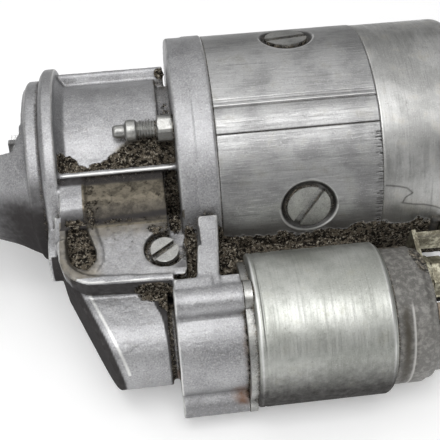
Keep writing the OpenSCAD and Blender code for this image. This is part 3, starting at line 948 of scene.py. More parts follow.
def cast_form(obj: bpy.types.Object, voxel: float, rounds: int) -> None:
    """Give a piece the soft edges of a casting.

    Args:
        obj: The piece to reshape.
        voxel: Cell size.
        rounds: Smoothing passes.
    """
    remesh = obj.modifiers.new("cells", "REMESH")
    remesh.mode = "VOXEL"
    remesh.voxel_size = voxel * MM
    soften = obj.modifiers.new("soften", "SMOOTH")
    soften.factor = 0.5
    soften.iterations = rounds
    settle(obj)
    shade(obj)


def machined(obj: bpy.types.Object, width: float) -> None:
    """Bevel a frame node's sharp edges with modifiers only.

    Args:
        obj: The frame node.
        width: Width of the bevel.
    """
    weld = obj.modifiers.new("join", "WELD")
    weld.merge_threshold = 1e-6
    bevel = obj.modifiers.new("edges", "BEVEL")
    bevel.width = width * MM
    bevel.segments = 2
    bevel.limit_method = "ANGLE"
    bevel.angle_limit = math.radians(35)
    bevel.use_clamp_overlap = True
    even = obj.modifiers.new("even", "WEIGHTED_NORMAL")
    even.keep_sharp = False
    shade(obj)


def mesh_points(obj: bpy.types.Object) -> np.ndarray:
    """Read an object's points.

    Args:
        obj: The object.

    Returns:
        Points as rows, in millimetres.
    """
    flat = np.empty(len(obj.data.vertices) * 3)
    obj.data.vertices.foreach_get("co", flat)
    return flat.reshape(-1, 3) / MM


def mesh_normals(obj: bpy.types.Object) -> np.ndarray:
    """Read the normals at an object's points.

    Args:
        obj: The object.

    Returns:
        Normals as rows.
    """
    flat = np.empty(len(obj.data.vertices) * 3, dtype=np.float32)
    obj.data.vertex_normals.foreach_get("vector", flat)
    return flat.reshape(-1, 3).astype(float)


def move_points(obj: bpy.types.Object, points: np.ndarray) -> None:
    """Set an object's points from millimetres."""
    obj.data.vertices.foreach_set("co", (points * MM).ravel())
    obj.data.update()


def put_paint(obj: bpy.types.Object, paint: Paint, values: np.ndarray) -> None:
    """Paint values from 0 to 1 on an object's points."""
    layer = obj.data.attributes.new(paint.value, "FLOAT", "POINT")
    layer.data.foreach_set("value", np.clip(values, 0, 1).astype(np.float32))


def relax(obj: bpy.types.Object, values: np.ndarray, rounds: int) -> np.ndarray:
    """Average values on points with those of their neighbours.

    Args:
        obj: The object.
        values: Values as rows, one for each point.
        rounds: Number of passes.

    Returns:
        The averaged values.
    """
    pairs = np.empty(len(obj.data.edges) * 2, dtype=np.int32)
    obj.data.edges.foreach_get("vertices", pairs)
    a, b = pairs[0::2], pairs[1::2]
    count = len(values)
    links = np.bincount(a, minlength=count) + np.bincount(b, minlength=count)
    links = np.maximum(links, 1)
    for _ in range(rounds):
        total = np.empty_like(values)
        for k in range(values.shape[1]):
            column = values[:, k]
            total[:, k] = np.bincount(a, column[b], count) + np.bincount(b, column[a], count)
        values = 0.5 * values + 0.5 * total / links[:, None]
    return values


def ride_on(obj: bpy.types.Object, body: str, slot: str, *nodes: str) -> None:
    """Hang a piece on its body, with its finish.

    Args:
        obj: The piece.
        body: Its body.
        slot: Its finish slot.
        nodes: Frame nodes that it stands for.
    """
    dress(obj, FINISHES[slot])
    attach(obj, body)
    if nodes:
        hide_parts(*nodes)
    LOG.info("%s: %d faces on %s", obj.name, len(obj.data.polygons), body)


def spread(
    start: float, end: float, step: float, fine: Sequence[tuple[float, float, float]]
) -> list[float]:
    """Spread places from start to end, closer together in fine stretches.

    Args:
        start: First place.
        end: Last place.
        step: Spacing outside the fine stretches.
        fine: Stretches as start, end and spacing.

    Returns:
        The places in rising order.
    """
    places = [start]
    while places[-1] < end - 1e-6:
        here = places[-1]
        gap = step
        for low, high, close in fine:
            if low <= here + 1e-6 < high:
                gap = min(gap, close)
            elif here < low:
                gap = min(gap, max(low - here, 1e-3))
        places.append(min(here + gap, end))
    return places


def round_angles(count: int) -> list[float]:
    """Return evenly spaced angles in degrees for a full turn."""
    return [360 * k / count for k in range(count)]


def along_outline(outline: Sequence[tuple[float, float]]) -> Radius:
    """Make a radius that follows an outline.

    Args:
        outline: Corners as x and radius.

    Returns:
        The radius.
    """
    xs = np.array([p[0] for p in outline])
    rs = np.array([p[1] for p in outline])
    return lambda x, a: np.interp(x, xs, rs)


def thread(major: float, depth: float, pitch: float) -> Radius:
    """Return the radius of a screw thread."""
    return lambda x, a: major - depth * np.abs(2 * np.mod(x / pitch - a / 360, 1.0) - 1) ** 0.8


def hexagon(flat: float, near: float, far: float, slope: float = 0.58) -> Radius:
    """Return the radius of a hexagon whose corners are chamfered at both ends.

    Args:
        flat: Distance of a flat from the axis.
        near: Place of the near end.
        far: Place of the far end.
        slope: Rise of the chamfer cone.

    Returns:
        The radius.
    """

    def radius(x: np.ndarray, a: np.ndarray) -> np.ndarray:
        """Take the lesser of the hexagon and the two cones."""
        corner = flat / np.cos(np.radians(np.mod(a + 30, 60) - 30))
        cone = flat * 0.97 + np.minimum(x - near, far - x) / slope
        return np.minimum(corner, cone)

    return radius


# ---------------------------------------------------------------------------
# Sub-assemblies
# ---------------------------------------------------------------------------


@dataclass(frozen=True)
class Surface:
    """Points of a piece, read once for its dirt and its wear.

    Attributes:
        points: Points as rows in the row frame.
        normals: Normals at the points.
        local: Points as rows of x, d and z.
    """

    points: np.ndarray
    normals: np.ndarray
    local: np.ndarray

    @classmethod
    def of(cls, obj: bpy.types.Object) -> "Surface":
        """Read the surface of a piece.

        Args:
            obj: The piece.

        Returns:
            Its surface.
        """
        points = mesh_points(obj)
        return cls(points, mesh_normals(obj), PLACES.to_casting(points))

    def proud(self, obj: bpy.types.Object, rounds: int) -> np.ndarray:
        """Find how far each point stands out of its surroundings.

        Args:
            obj: The piece.
            rounds: Number of smoothing passes that make the surroundings.

        Returns:
            Heights above the smoothed surface.
        """
        calm = relax(obj, self.points, rounds)
        return np.einsum("ij,ij->i", self.points - calm, self.normals)

    def raised(self, height: np.ndarray) -> np.ndarray:
        """Return the points moved along their normals."""
        return self.points + self.normals * height[:, None]


@dataclass(frozen=True)
class TruedBand:
    """Turned stretch of a casting that is set to its exact radius.

    Attributes:
        start: Start along X.
        end: End along X.
        radius: Radius to set.
        near: Distance within which points are moved.
    """

    start: float
    end: float
    radius: float
    near: float = 0.6


@dataclass
class DriveHousing:
    """The one-piece casting at the drive end, with its caked dirt and painted shade.

    Attributes:
        voxel: Cell size of the cast form.
        rounds: Smoothing passes over the cast form.
        lump: Height of caked dirt.
        rib_angle: Angle of the middle rib's upper side.
        rib_reach: Distance of the middle rib from the shaft.
        side_lean: Lean in degrees of the lever chamber's slanted side.
        side_foot: Foot of the slanted side, as x and d.
        plunger_room: Radius about the solenoid axis that stays clean.
        inset: Distance that the piece keeps inside the node's box.
        bands: Turned stretches.
        patches: Places of caked dirt.
        rust: Places of rust.
        pocket_level: Height of the dirt above the middle rib, by place along X.
        slot_edge: Left edge of the painted shade in the slot beside the seat, as d and x.
    """

    voxel: float = 0.5
    rounds: int = 5
    lump: float = 0.55
    rib_angle: float = 51.2
    rib_reach: float = 30.5
    side_lean: float = 23.1
    side_foot: tuple[float, float] = (3.0, 48.0)
    plunger_room: float = 12.6
    inset: float = 0.01
    bands: tuple[TruedBand, ...] = (
        TruedBand(46.8, 52.4, 45.2, 0.7),
        TruedBand(52.6, 58.9, 45.5, 0.7),
        TruedBand(1.6, 5.0, 37.4),
        TruedBand(-4.3, -1.2, 33.5),
    )
    patches: tuple[Patch, ...] = (
        # Gap beside the ring
        Patch((44.0, 14.0, 23.0), (2.8, 7.0, 7.0), 0.9),
        Patch((43.5, -23.5, 23.0), (2.0, 2.2, 2.6), 0.9),
        Patch((43.6, 4.0, 27.0), (2.6, 10.0, 6.0), 0.55),
        Patch((43.6, 26.0, 12.0), (2.8, 12.0, 14.0)),
        Patch((43.6, 36.0, 6.0), (2.8, 8.0, 14.0)),
        # Panel, bolt pocket and plate
        Patch((16.0, 34.0, 24.6), (2.8, 9.0, 2.0), 0.50),
        Patch((26.0, 39.4, 22.8), (16.0, 1.6, 2.2), 0.38),
        Patch((28.0, 30.0, 24.8), (15.0, 6.0, 1.6), 0.24),
        Patch((27.0, 47.0, 24.0), (15.0, 8.0, 1.0), 0.17),
        Patch((11.5, 48.0, 12.0), (7.5, 11.0, 11.5)),
        Patch((10.0, 39.5, 18.0), (5.5, 3.4, 7.0), 0.95),
        Patch((44.5, 53.5, 23.0), (2.4, 6.0, 3.0), 0.42),
        Patch((38.0, 44.0, 23.6), (5.0, 2.6, 2.0), 0.45),
        # Gap beside the strip, and between the seat and the ring
        Patch((48.2, 52.0, 16.0), (3.0, 13.0, 8.5)),
        Patch((58.6, 48.0, 12.0), (3.2, 8.0, 11.0)),
        Patch((57.0, 60.0, 12.0), (5.0, 8.0, 9.0)),
        # Clump under the rim and at the top of the slot beside the seat
        Patch((35.0, 64.2, 18.5), (7.0, 3.2, 5.0)),
        Patch((37.5, 67.5, 14.0), (2.4, 3.2, 4.5), 0.9),
    )
    rust: tuple[Patch, ...] = (
        Patch((40.6, 87.0, 1.0), (1.8, 3.2, 4.5), 0.6),
        Patch((61.5, 94.0, -3.0), (5.0, 4.5, 5.0), 0.45),
        Patch((62.0, 86.0, 14.0), (1.4, 8.0, 9.0), 0.2),
    )
    pocket_level: tuple[tuple[float, float], ...] = (
        (6.0, 8.0), (9.0, 6.0), (12.0, 3.2), (15.0, 2.2), (19.0, 2.4), (23.0, 4.0), (27.0, 6.4), (31.0, 9.0),
        (37.0, 10.5), (43.0, 12.0),
    )
    slot_edge: tuple[tuple[float, float], ...] = (
        (62.0, 31.0), (66.0, 33.2), (69.0, 34.2), (72.0, 35.6), (76.0, 36.3), (82.0, 36.8), (95.0, 37.2),
    )

    def above_rib(self, turn: np.ndarray) -> np.ndarray:
        """Return the heights above the middle rib at angles about the shaft."""
        return (turn - self.rib_angle) * DEGREE * self.rib_reach

    def off_side(self, local: np.ndarray) -> np.ndarray:
        """Measure points from the lever chamber's slanted side.

        Args:
            local: Rows of x, d and z.

        Returns:
            Distances from the line through the side's foot.
        """
        lean = math.radians(self.side_lean)
        x, d = self.side_foot
        return (local[:, 0] - x) * math.cos(lean) - (local[:, 1] - d) * math.sin(lean)

    def pocket_dirt(self, local: np.ndarray) -> np.ndarray:
        """Return the dirt that lies in the pocket above the middle rib.

        Args:
            local: Rows of x, d and z.

        Returns:
            Strengths from 0 to 1.
        """
        x = local[:, 0]
        r, turn = polar(local)
        above = self.above_rib(turn)
        inside = (x > 5.2) & (x < 43.5) & (r < 34.6) & (above > 0) & (above < 30)
        level = np.interp(x, *zip(*self.pocket_level))
        ragged = 1.5 * coarse_grain(local, 3.0, 81)
        dirt = ease(level + ragged - above, -1.2, 1.2)
        # Sparse specks round the through bolt
        around = 0.44 * ease(x, 25.0, 31.0) * ease(above, 21.0, 15.0)
        return np.where(inside, np.maximum(dirt, around), 0.0)

    def painted_shade(self, local: np.ndarray, normals: np.ndarray) -> np.ndarray:
        """Return how strong the painted shade is: a dark tone on undersides, grooves and walls turned from the
        light.

        Args:
            local: Rows of x, d and z.
            normals: Normals as rows of x, d and z.

        Returns:
            Strengths from 0 to 1.
        """
        x, d, z = local.T
        r, turn = polar(local)
        painted_shade = np.zeros(len(local))

        def lay(amount: np.ndarray, where: np.ndarray) -> None:
            """Lay painted shade where a test holds."""
            np.maximum(painted_shade, amount * where, out=painted_shade)

        # Painted shade on the underside of the nose and of the pilot, and in the groove behind the pilot
        lay(0.97 * ease(turn, 56.0, 24.0) * (0.7 + 0.3 * ease(x, -22.0, -8.0)), (x < -0.4) & (turn > -120))
        lay(0.8 * hump(x, -0.3, 0.9) * ease(r, 28.0, 31.0), r < 38.5)
        lay(0.7 * ease(turn, 58.0, 42.0), (x < 0.3) & (x > -5.0) & (turn > -120))
        # Painted shade under the middle rib, along the foot of the panel and on the pad beside the flange, and a
        # lighter painted shade over the plate that deepens towards the ring
        upper = (z > 20.0) & (x > 5.3) & (x < 43.0)
        lay(0.9 * ease(d, 20.6, 21.4) * ease(d, 26.6, 24.4), upper & (turn < 50.0))
        lay(0.36 + 0.28 * ease(d, 31.0, 37.0), upper & (x > 14.0) & (d > 24.0) & (d < 41.0))
        lay(0.95 * hump(d, 38.8 - 0.05 * (x - 14.0), 2.1) * ease(x, 13.0, 15.0), upper)
        lay(0.85 * ease(d, 31.5, 37.5), upper & (x < 14.2) & (d < 42.0))
        plate = (z > 21.5) & (d > 41.0) & (d < 60.0) & (x > 14.0) & (x < 46.8)
        lay(0.30 + 0.35 * ease(x, 40.0, 43.5), plate)
        # Painted shade on the wall under the rim where it faces towards the solenoid side, and beside the slanted
        # side of the chamber
        wall = (z > 16.4) & (z < 24.2) & (d > 52.0) & (d < 66.0) & (x < 42.0)
        lay(0.85 * ease(normals[:, 1], 0.35, 0.75), wall)
        side = self.off_side(local)
        slanted = (d > 46.0) & (x < 32.0) & (x > 1.0) & (z < 17.5)
        lay(0.95 * ease(side, 2.4, 1.4), slanted)
        lay(0.35 * ease(side, 3.2, 2.4), slanted)
        # Painted shade in the slot beside the seat
        edge = np.interp(d, *zip(*self.slot_edge))
        lay(0.92 * ease(x - edge, -0.1, 0.5), (x < 39.3) & (d > 61.5) & (z < 17.0))
        # Painted shade on the undersides about the solenoid axis
        _, under = polar(local, PLACES.solenoid_d)
        lay(0.50 * ease(under, 22.0, -28.0), (d > PLACES.solenoid_d) & (under > -120))
        return painted_shade

    def stain(self, local: np.ndarray) -> np.ndarray:
        """Return how far brown stains cover the panel, the plate and the edge of the pocket's dirt.

        Args:
            local: Rows of x, d and z.

        Returns:
            Strengths from 0 to 1.
        """
        x, d, z = local.T
        r, turn = polar(local)
        above = self.above_rib(turn)
        panel = (z > 20.0) & (x > 13.2) & (x < 43.0) & (d > 21.0) & (d < 42.0) & (turn < 50.0)
        plate = (z > 21.0) & (x > 5.0) & (x < 46.8) & (d > 38.0) & (d < 61.0)
        pocket = (x > 5.2) & (x < 43.0) & (above > 0) & (r < 34.0)
        level = np.interp(x, *zip(*self.pocket_level))
        edge = 0.75 * ease(level + 3.5 - above, 0.0, 3.0) * ease(x, 20.0, 27.0)
        fade = 0.74 - 0.46 * ease(d, 42.0, 49.0) * ease(x, 15.0, 21.0)
        return np.maximum.reduce([0.95 * panel, fade * plate, edge * pocket])

    def true_up(self, points: np.ndarray) -> np.ndarray:
        """Set the turned stretches to their exact radii.

        Args:
            points: Rows of x, d and z.

        Returns:
            The moved rows.
        """
        r = np.hypot(points[:, 1], points[:, 2])
        for band in self.bands:
            inside = (points[:, 0] > band.start) & (points[:, 0] < band.end)
            pull = (1 - ease(np.abs(r - band.radius), band.near * 0.6, band.near)) * inside
            scale = 1 + pull * (band.radius / np.maximum(r, 1.0) - 1)
            points[:, 1] *= scale
            points[:, 2] *= scale
        return points

    def build(self) -> bpy.types.Object:
        """Build the casting.

        Returns:
            The casting.
        """
        obj = copy_of("drive_end_housing", "housing_casting")
        cast_form(obj, self.voxel, self.rounds)
        surface = Surface.of(obj)
        proud = surface.proud(obj, 10)
        local, normals = surface.local, surface.normals
        facing = PLACES.to_casting(normals)
        grime = np.maximum(lay_patches(local, self.patches, 11), self.pocket_dirt(local))
        # The plunger's bore stays clean and smooth
        bore = polar(local, PLACES.solenoid_d)[0] < self.plunger_room
        grime = np.where(bore, 0.0, grime)
        # Painted shade on undersides, grooves and shaded walls, kept on the mesh for the finish
        painted_shade = self.painted_shade(local, facing)
        local = self.true_up(local)
        moved = PLACES.to_bench(local)
        heap = ease(grime, 0.35, 0.9) * (0.55 + 0.75 * coarse_grain(local, 1.7, 21)) * self.lump
        sandy = 0.05 * flutter(local, 1.1, 5) + 0.07 * flutter(local, 3.4, 6)
        # The turned rim is smoother than the cast skin
        round_parts = polar(local)[0] > 44.0
        sandy = np.where(round_parts & (local[:, 0] > 46.5), 0.25 * sandy, sandy)
        sandy = np.where(bore, 0.0, sandy)
        low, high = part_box("drive_end_housing")
        moved += normals * (heap + sandy)[:, None]
        moved = np.clip(moved, np.array(low) / MM + self.inset, np.array(high) / MM - self.inset)
        move_points(obj, moved)
        # Bright edge along the slanted side
        rubbed = hump(self.off_side(local), 3.9, 0.55)
        rubbed *= (local[:, 1] > 60.0) & (local[:, 2] > 6.0) & (local[:, 2] < 17.5)
        put_paint(obj, Paint.GRIME, grime)
        put_paint(obj, Paint.PAINTED_SHADE, painted_shade)
        put_paint(obj, Paint.STAIN, self.stain(local))
        put_paint(obj, Paint.RUST, lay_patches(local, self.rust, 31))
        put_paint(obj, Paint.WORN, np.maximum(ease(proud, 0.05, 0.30), 0.8 * rubbed))
        ride_on(obj, "housing", "cast_aluminium", "drive_end_housing")
        return obj


@dataclass
class YokeTube:
    """Steel tube round the field, with its rolled seam and the recesses of its pole screws.

    Attributes:
        start: Joint with the ring.
        end: Joint with the end cap.
        radius: Outer radius.
        bore: Inner radius.
        screw_x: Place of the pole screws.
        screw_angles: Angles of the pole screws.
        recess: Radius of a recess at the surface.
        floor: Distance of a recess's floor from the shaft.
        seam: Angles of the lower and the upper edge of the seam.
        nick_count: Number of nicks along the rear edge.
    """

    start: float = 59.5
    end: float = 115.3
    radius: float = 45.0
    bore: float = 40.2
    screw_x: float = 89.5
    screw_angles: tuple[float, ...] = (28.0, 118.0, 208.0, 298.0)
    recess: float = 9.9
    floor: float = 43.4
    seam: tuple[float, float] = (63.2, 75.6)
    nick_count: int = 46

    def radii(self, x: np.ndarray, a: np.ndarray) -> np.ndarray:
        """Work out the outer radius.

        Args:
            x: Places along X.
            a: Angles in degrees.

        Returns:
            The radii.
        """
        r = np.full(x.shape, self.radius)
        # Rolled seam, sunk between its edges, with two fine lines beside it
        low, high = self.seam
        share = np.clip((a - low) / (high - low), 0, 1)
        inside = (a > low) & (a < high)
        dip = 0.50 * share**3 - 0.34 * np.sin(np.pi * share)
        r -= np.where(inside, dip, 0.0)
        arc = DEGREE * self.radius
        r -= 0.34 * hump((a - low) * arc, 0.0, 0.16)
        r += 0.16 * hump((a - high) * arc, 0.35, 0.32) * (a >= high)
        r -= 0.10 * hump((a - high) * arc, 1.35, 0.14) + 0.10 * hump((a - high) * arc, 2.5, 0.13)
        # Recesses of the pole screws, with a flat floor, a rounded wall and a raised lip
        for angle in self.screw_angles:
            swing = np.radians(np.mod(a - angle + 180, 360) - 180)
            near = np.abs(swing) < 0.4
            off = np.hypot(x - self.screw_x, self.radius * np.sin(swing))
            floor = self.floor / np.cos(np.where(near, swing, 0.0))
            wall = np.clip((off - self.recess + 1.35) / 1.35, 0, 1) ** 0.8
            sunk = floor + (r - floor) * wall
            r = np.where(near & (off < self.recess), np.minimum(r, sunk), r)
            r += np.where(near, 0.07 * hump(off, self.recess + 0.25, 0.3), 0)
        # Broken edges
        for edge in (self.start, self.end):
            r -= 0.32 * np.clip(1 - np.abs(x - edge) / 0.45, 0, 1) ** 1.6
        return r

    def nicks(self, x: np.ndarray, a: np.ndarray) -> np.ndarray:
        """Work out the depth of small nicks along the rear edge.

        Args:
            x: Places along X.
            a: Angles in degrees.

        Returns:
            The depths.
        """
        rng = np.random.default_rng(7)
        depth = np.zeros(x.shape)
        for _ in range(self.nick_count):
            angle = rng.uniform(18, 60)
            length = rng.uniform(0.8, 3.4)
            width = rng.uniform(0.10, 0.2)
            tilt = rng.uniform(-0.5, 0.5)
            across = (a - angle) * DEGREE * self.radius + tilt * (self.end - x) * 0.2
            fade = 1 - ease(self.end - x, length * 0.6, length)
            depth += rng.uniform(0.06, 0.2) * hump(across, 0.0, width) * fade
        return depth

    def build(self) -> bpy.types.Object:
        """Build the tube.

        Returns:
            The tube.
        """
        along = spread(self.start, self.end, 0.75, (
            (self.start, self.start + 0.6, 0.12),
            (self.screw_x - 10.8, self.screw_x + 10.8, 0.3),
            (self.end - 3.6, self.end - 0.6, 0.35),
            (self.end - 0.6, self.end, 0.12),
        ))
        low, high = self.seam
        fine = [(a - 14, a + 14, 0.34) for a in self.screw_angles]
        fine += [(low - 0.8, low + 0.8, 0.12), (low, high, 0.5), (high - 0.5, high + 4.0, 0.12)]
        fine += [(18.0, 60.0, 0.26)]
        turns = spread(0.0, 360.0, 0.9, fine)[:-1]
        blank = Blank("yoke_tube")
        bore = [(self.end, self.bore), (self.start, self.bore)]
        blank.turned(Seat(), along, turns, lambda x, a: self.radii(x, a) - self.nicks(x, a), bore)
        obj = blank.finish()
        self.soil(obj)
        ride_on(obj, "housing", "yoke_steel", "yoke")
        return obj

    def soil(self, obj: bpy.types.Object) -> None:
        """Cake dirt on the side that faces the solenoid, mark worn edges, and paint highlights on the seam's upper
        edge and the recess lips and shade round the screws and inside the seam.

        Args:
            obj: The tube.
        """
        surface = Surface.of(obj)
        local = surface.local
        r, angle = polar(local)
        outer = r > 43.0
        edge = 16.8 + 3.5 * coarse_grain(local, 6.0, 41) + 3.0 * hump(local[:, 0], 62.0, 9.0)
        band = ease(edge - angle, 0.0, 5.0) * ease(angle, -62.0, -40.0) * outer
        off = np.hypot(local[:, 0] - self.screw_x, self.radius * np.radians(angle - self.screw_angles[0]))
        band *= ease(off, 9.2, 10.6)
        grain = coarse_grain(local, 1.5, 43)
        grime = np.clip(band * (1.0 + 0.35 * grain), 0, 1)
        heap = ease(grime, 0.6, 1.2) * (0.25 + 0.5 * grain)
        # Painted highlight on the upper edge of the seam; worn lips of the recesses with a painted highlight that
        # is stronger on one side; painted shade in a ring round each screw
        low, high = self.seam
        arc = DEGREE * self.radius
        worn = 0.5 * hump((angle - high) * arc, 0.35, 0.35) * (r > 44.3)
        sunk = np.zeros(len(r))
        for place in self.screw_angles:
            swing = np.mod(angle - place + 180, 360) - 180
            away = np.hypot(local[:, 0] - self.screw_x, self.radius * np.radians(swing))
            lip_wear_and_highlight = np.where(swing < 0, 0.85, 0.4)
            worn = np.maximum(worn, lip_wear_and_highlight * hump(away, self.recess, 0.4) * (np.abs(swing) < 20))
            sunk = np.maximum(sunk, ease(away, 6.6, 7.4) * ease(away, 9.7, 9.3) * (np.abs(swing) < 20))
        # Dark lines along the seam and in the nicks, and a line of painted shade just inside the seam's upper edge
        dark = 0.7 * hump((angle - low) * arc, 0.0, 0.28) + 0.45 * hump((angle - high) * arc, 1.35, 0.22)
        dark += 0.45 * hump((angle - high) * arc, -0.4, 0.25)
        line = np.maximum(dark, ease(self.nicks(local[:, 0], angle), 0.03, 0.12) * 0.8) * outer
        # Painted shade in the ring round each screw
        line = np.maximum(line, 0.75 * sunk * (r > 42.0))
        move_points(obj, surface.raised(heap * outer))
        put_paint(obj, Paint.GRIME, grime)
        # Painted shade at angles below about 16 to 32 degrees from the solenoid side
        put_paint(obj, Paint.PAINTED_SHADE, 0.24 * ease(angle, 32.0, 16.0) * outer)
        put_paint(obj, Paint.WORN, worn)
        put_paint(obj, Paint.LINE, line)


@dataclass
class EndCap:
    """Drawn cover over the commutator end.

    Attributes:
        start: Joint with the yoke.
        end: Rear face.
        radius: Outer radius.
        bore: Inner radius.
        tide: Tide mark left by spilt fluid, as places and angles.
        corner: Radius of the rounded rear edge.
    """

    start: float = 115.3
    end: float = 150.0
    radius: float = 44.7
    bore: float = 40.0
    tide: tuple[tuple[float, float], ...] = (
        (116.2, 34.6), (120.6, 33.6), (123.6, 32.4), (125.6, 29.8), (123.2, 27.9), (122.3, 25.2),
        (126.2, 23.9), (130.2, 23.2), (134.2, 21.5), (137.4, 19.2),
    )
    corner: float = 3.6

    def radii(self, x: np.ndarray, a: np.ndarray) -> np.ndarray:
        """Work out the outer radius.

        Args:
            x: Places along X.
            a: Angles in degrees, which change nothing on this round piece.

        Returns:
            The radii.
        """
        past = np.clip(x - (self.end - self.corner), 0, self.corner) / self.corner
        r = self.radius - self.corner * (1 - np.sqrt(np.maximum(1 - past**2, 0)))
        r -= 0.30 * np.clip(1 - np.abs(x - self.start) / 0.5, 0, 1) ** 1.6
        return r

    def build(self) -> bpy.types.Object:
        """Build the cover.

        Returns:
            The cover.
        """
        along = spread(self.start, self.end, 0.8, (
            (self.start, self.start + 0.6, 0.12), (self.start + 0.6, 138.0, 0.42),
            (self.end - self.corner, self.end - 0.6, 0.3), (self.end - 0.6, self.end, 0.06),
        ))
        turns = spread(0.0, 360.0, 1.0, ((17.0, 37.0, 0.36),))[:-1]
        # Rear face, hole for the shaft, seat of the bush and inner wall
        bore = [(self.end, r) for r in (36.0, 30.0, 24.0, 18.0, 8.0)]
        bore += [
            (143.2, 8.0), (143.2, 11.0), (146.5, 11.0), (146.5, self.bore), (self.start, self.bore),
        ]
        blank = Blank("end_cover")
        blank.turned(Seat(), along, turns, self.radii, bore)
        obj = blank.finish()
        self.soil(obj)
        ride_on(obj, "housing", "turned_aluminium", "commutator_end_cap")
        return obj

    def soil(self, obj: bpy.types.Object) -> None:
        """Cake dirt towards the solenoid and draw the tide mark.

        Args:
            obj: The cover.
        """
        surface = Surface.of(obj)
        local = surface.local
        r, angle = polar(local)
        outer = r > 42.5
        grain = coarse_grain(local, 1.5, 53)
        edge = 17.5 + 4.0 * coarse_grain(local, 6.0, 51)
        band = ease(edge - angle, 0.0, 6.0) * ease(angle, -55.0, -35.0) * outer
        grime = np.clip(band * (0.95 + 0.4 * grain), 0, 1)
        heap = ease(grime, 0.6, 1.2) * (0.25 + 0.45 * grain)
        # Distance of each point from the tide mark
        arc = DEGREE * self.radius
        here = np.stack([local[:, 0], angle * arc], axis=1)
        gap = np.full(len(here), 9.0)
        for (x0, a0), (x1, a1) in zip(self.tide, self.tide[1:]):
            p, q = np.array([x0, a0 * arc]), np.array([x1, a1 * arc])
            t = np.clip(((here - p) @ (q - p)) / ((q - p) @ (q - p)), 0, 1)
            gap = np.minimum(gap, np.linalg.norm(here - p - t[:, None] * (q - p), axis=1))
        line = 0.75 * hump(gap, 0.0, 0.28) * outer
        worn = hump(local[:, 0], self.end - 1.2, 1.2) * (r > 41.0) * 0.7
        move_points(obj, surface.raised(heap * outer))
        put_paint(obj, Paint.GRIME, grime)
        put_paint(obj, Paint.LINE, line)
        put_paint(obj, Paint.WORN, worn)


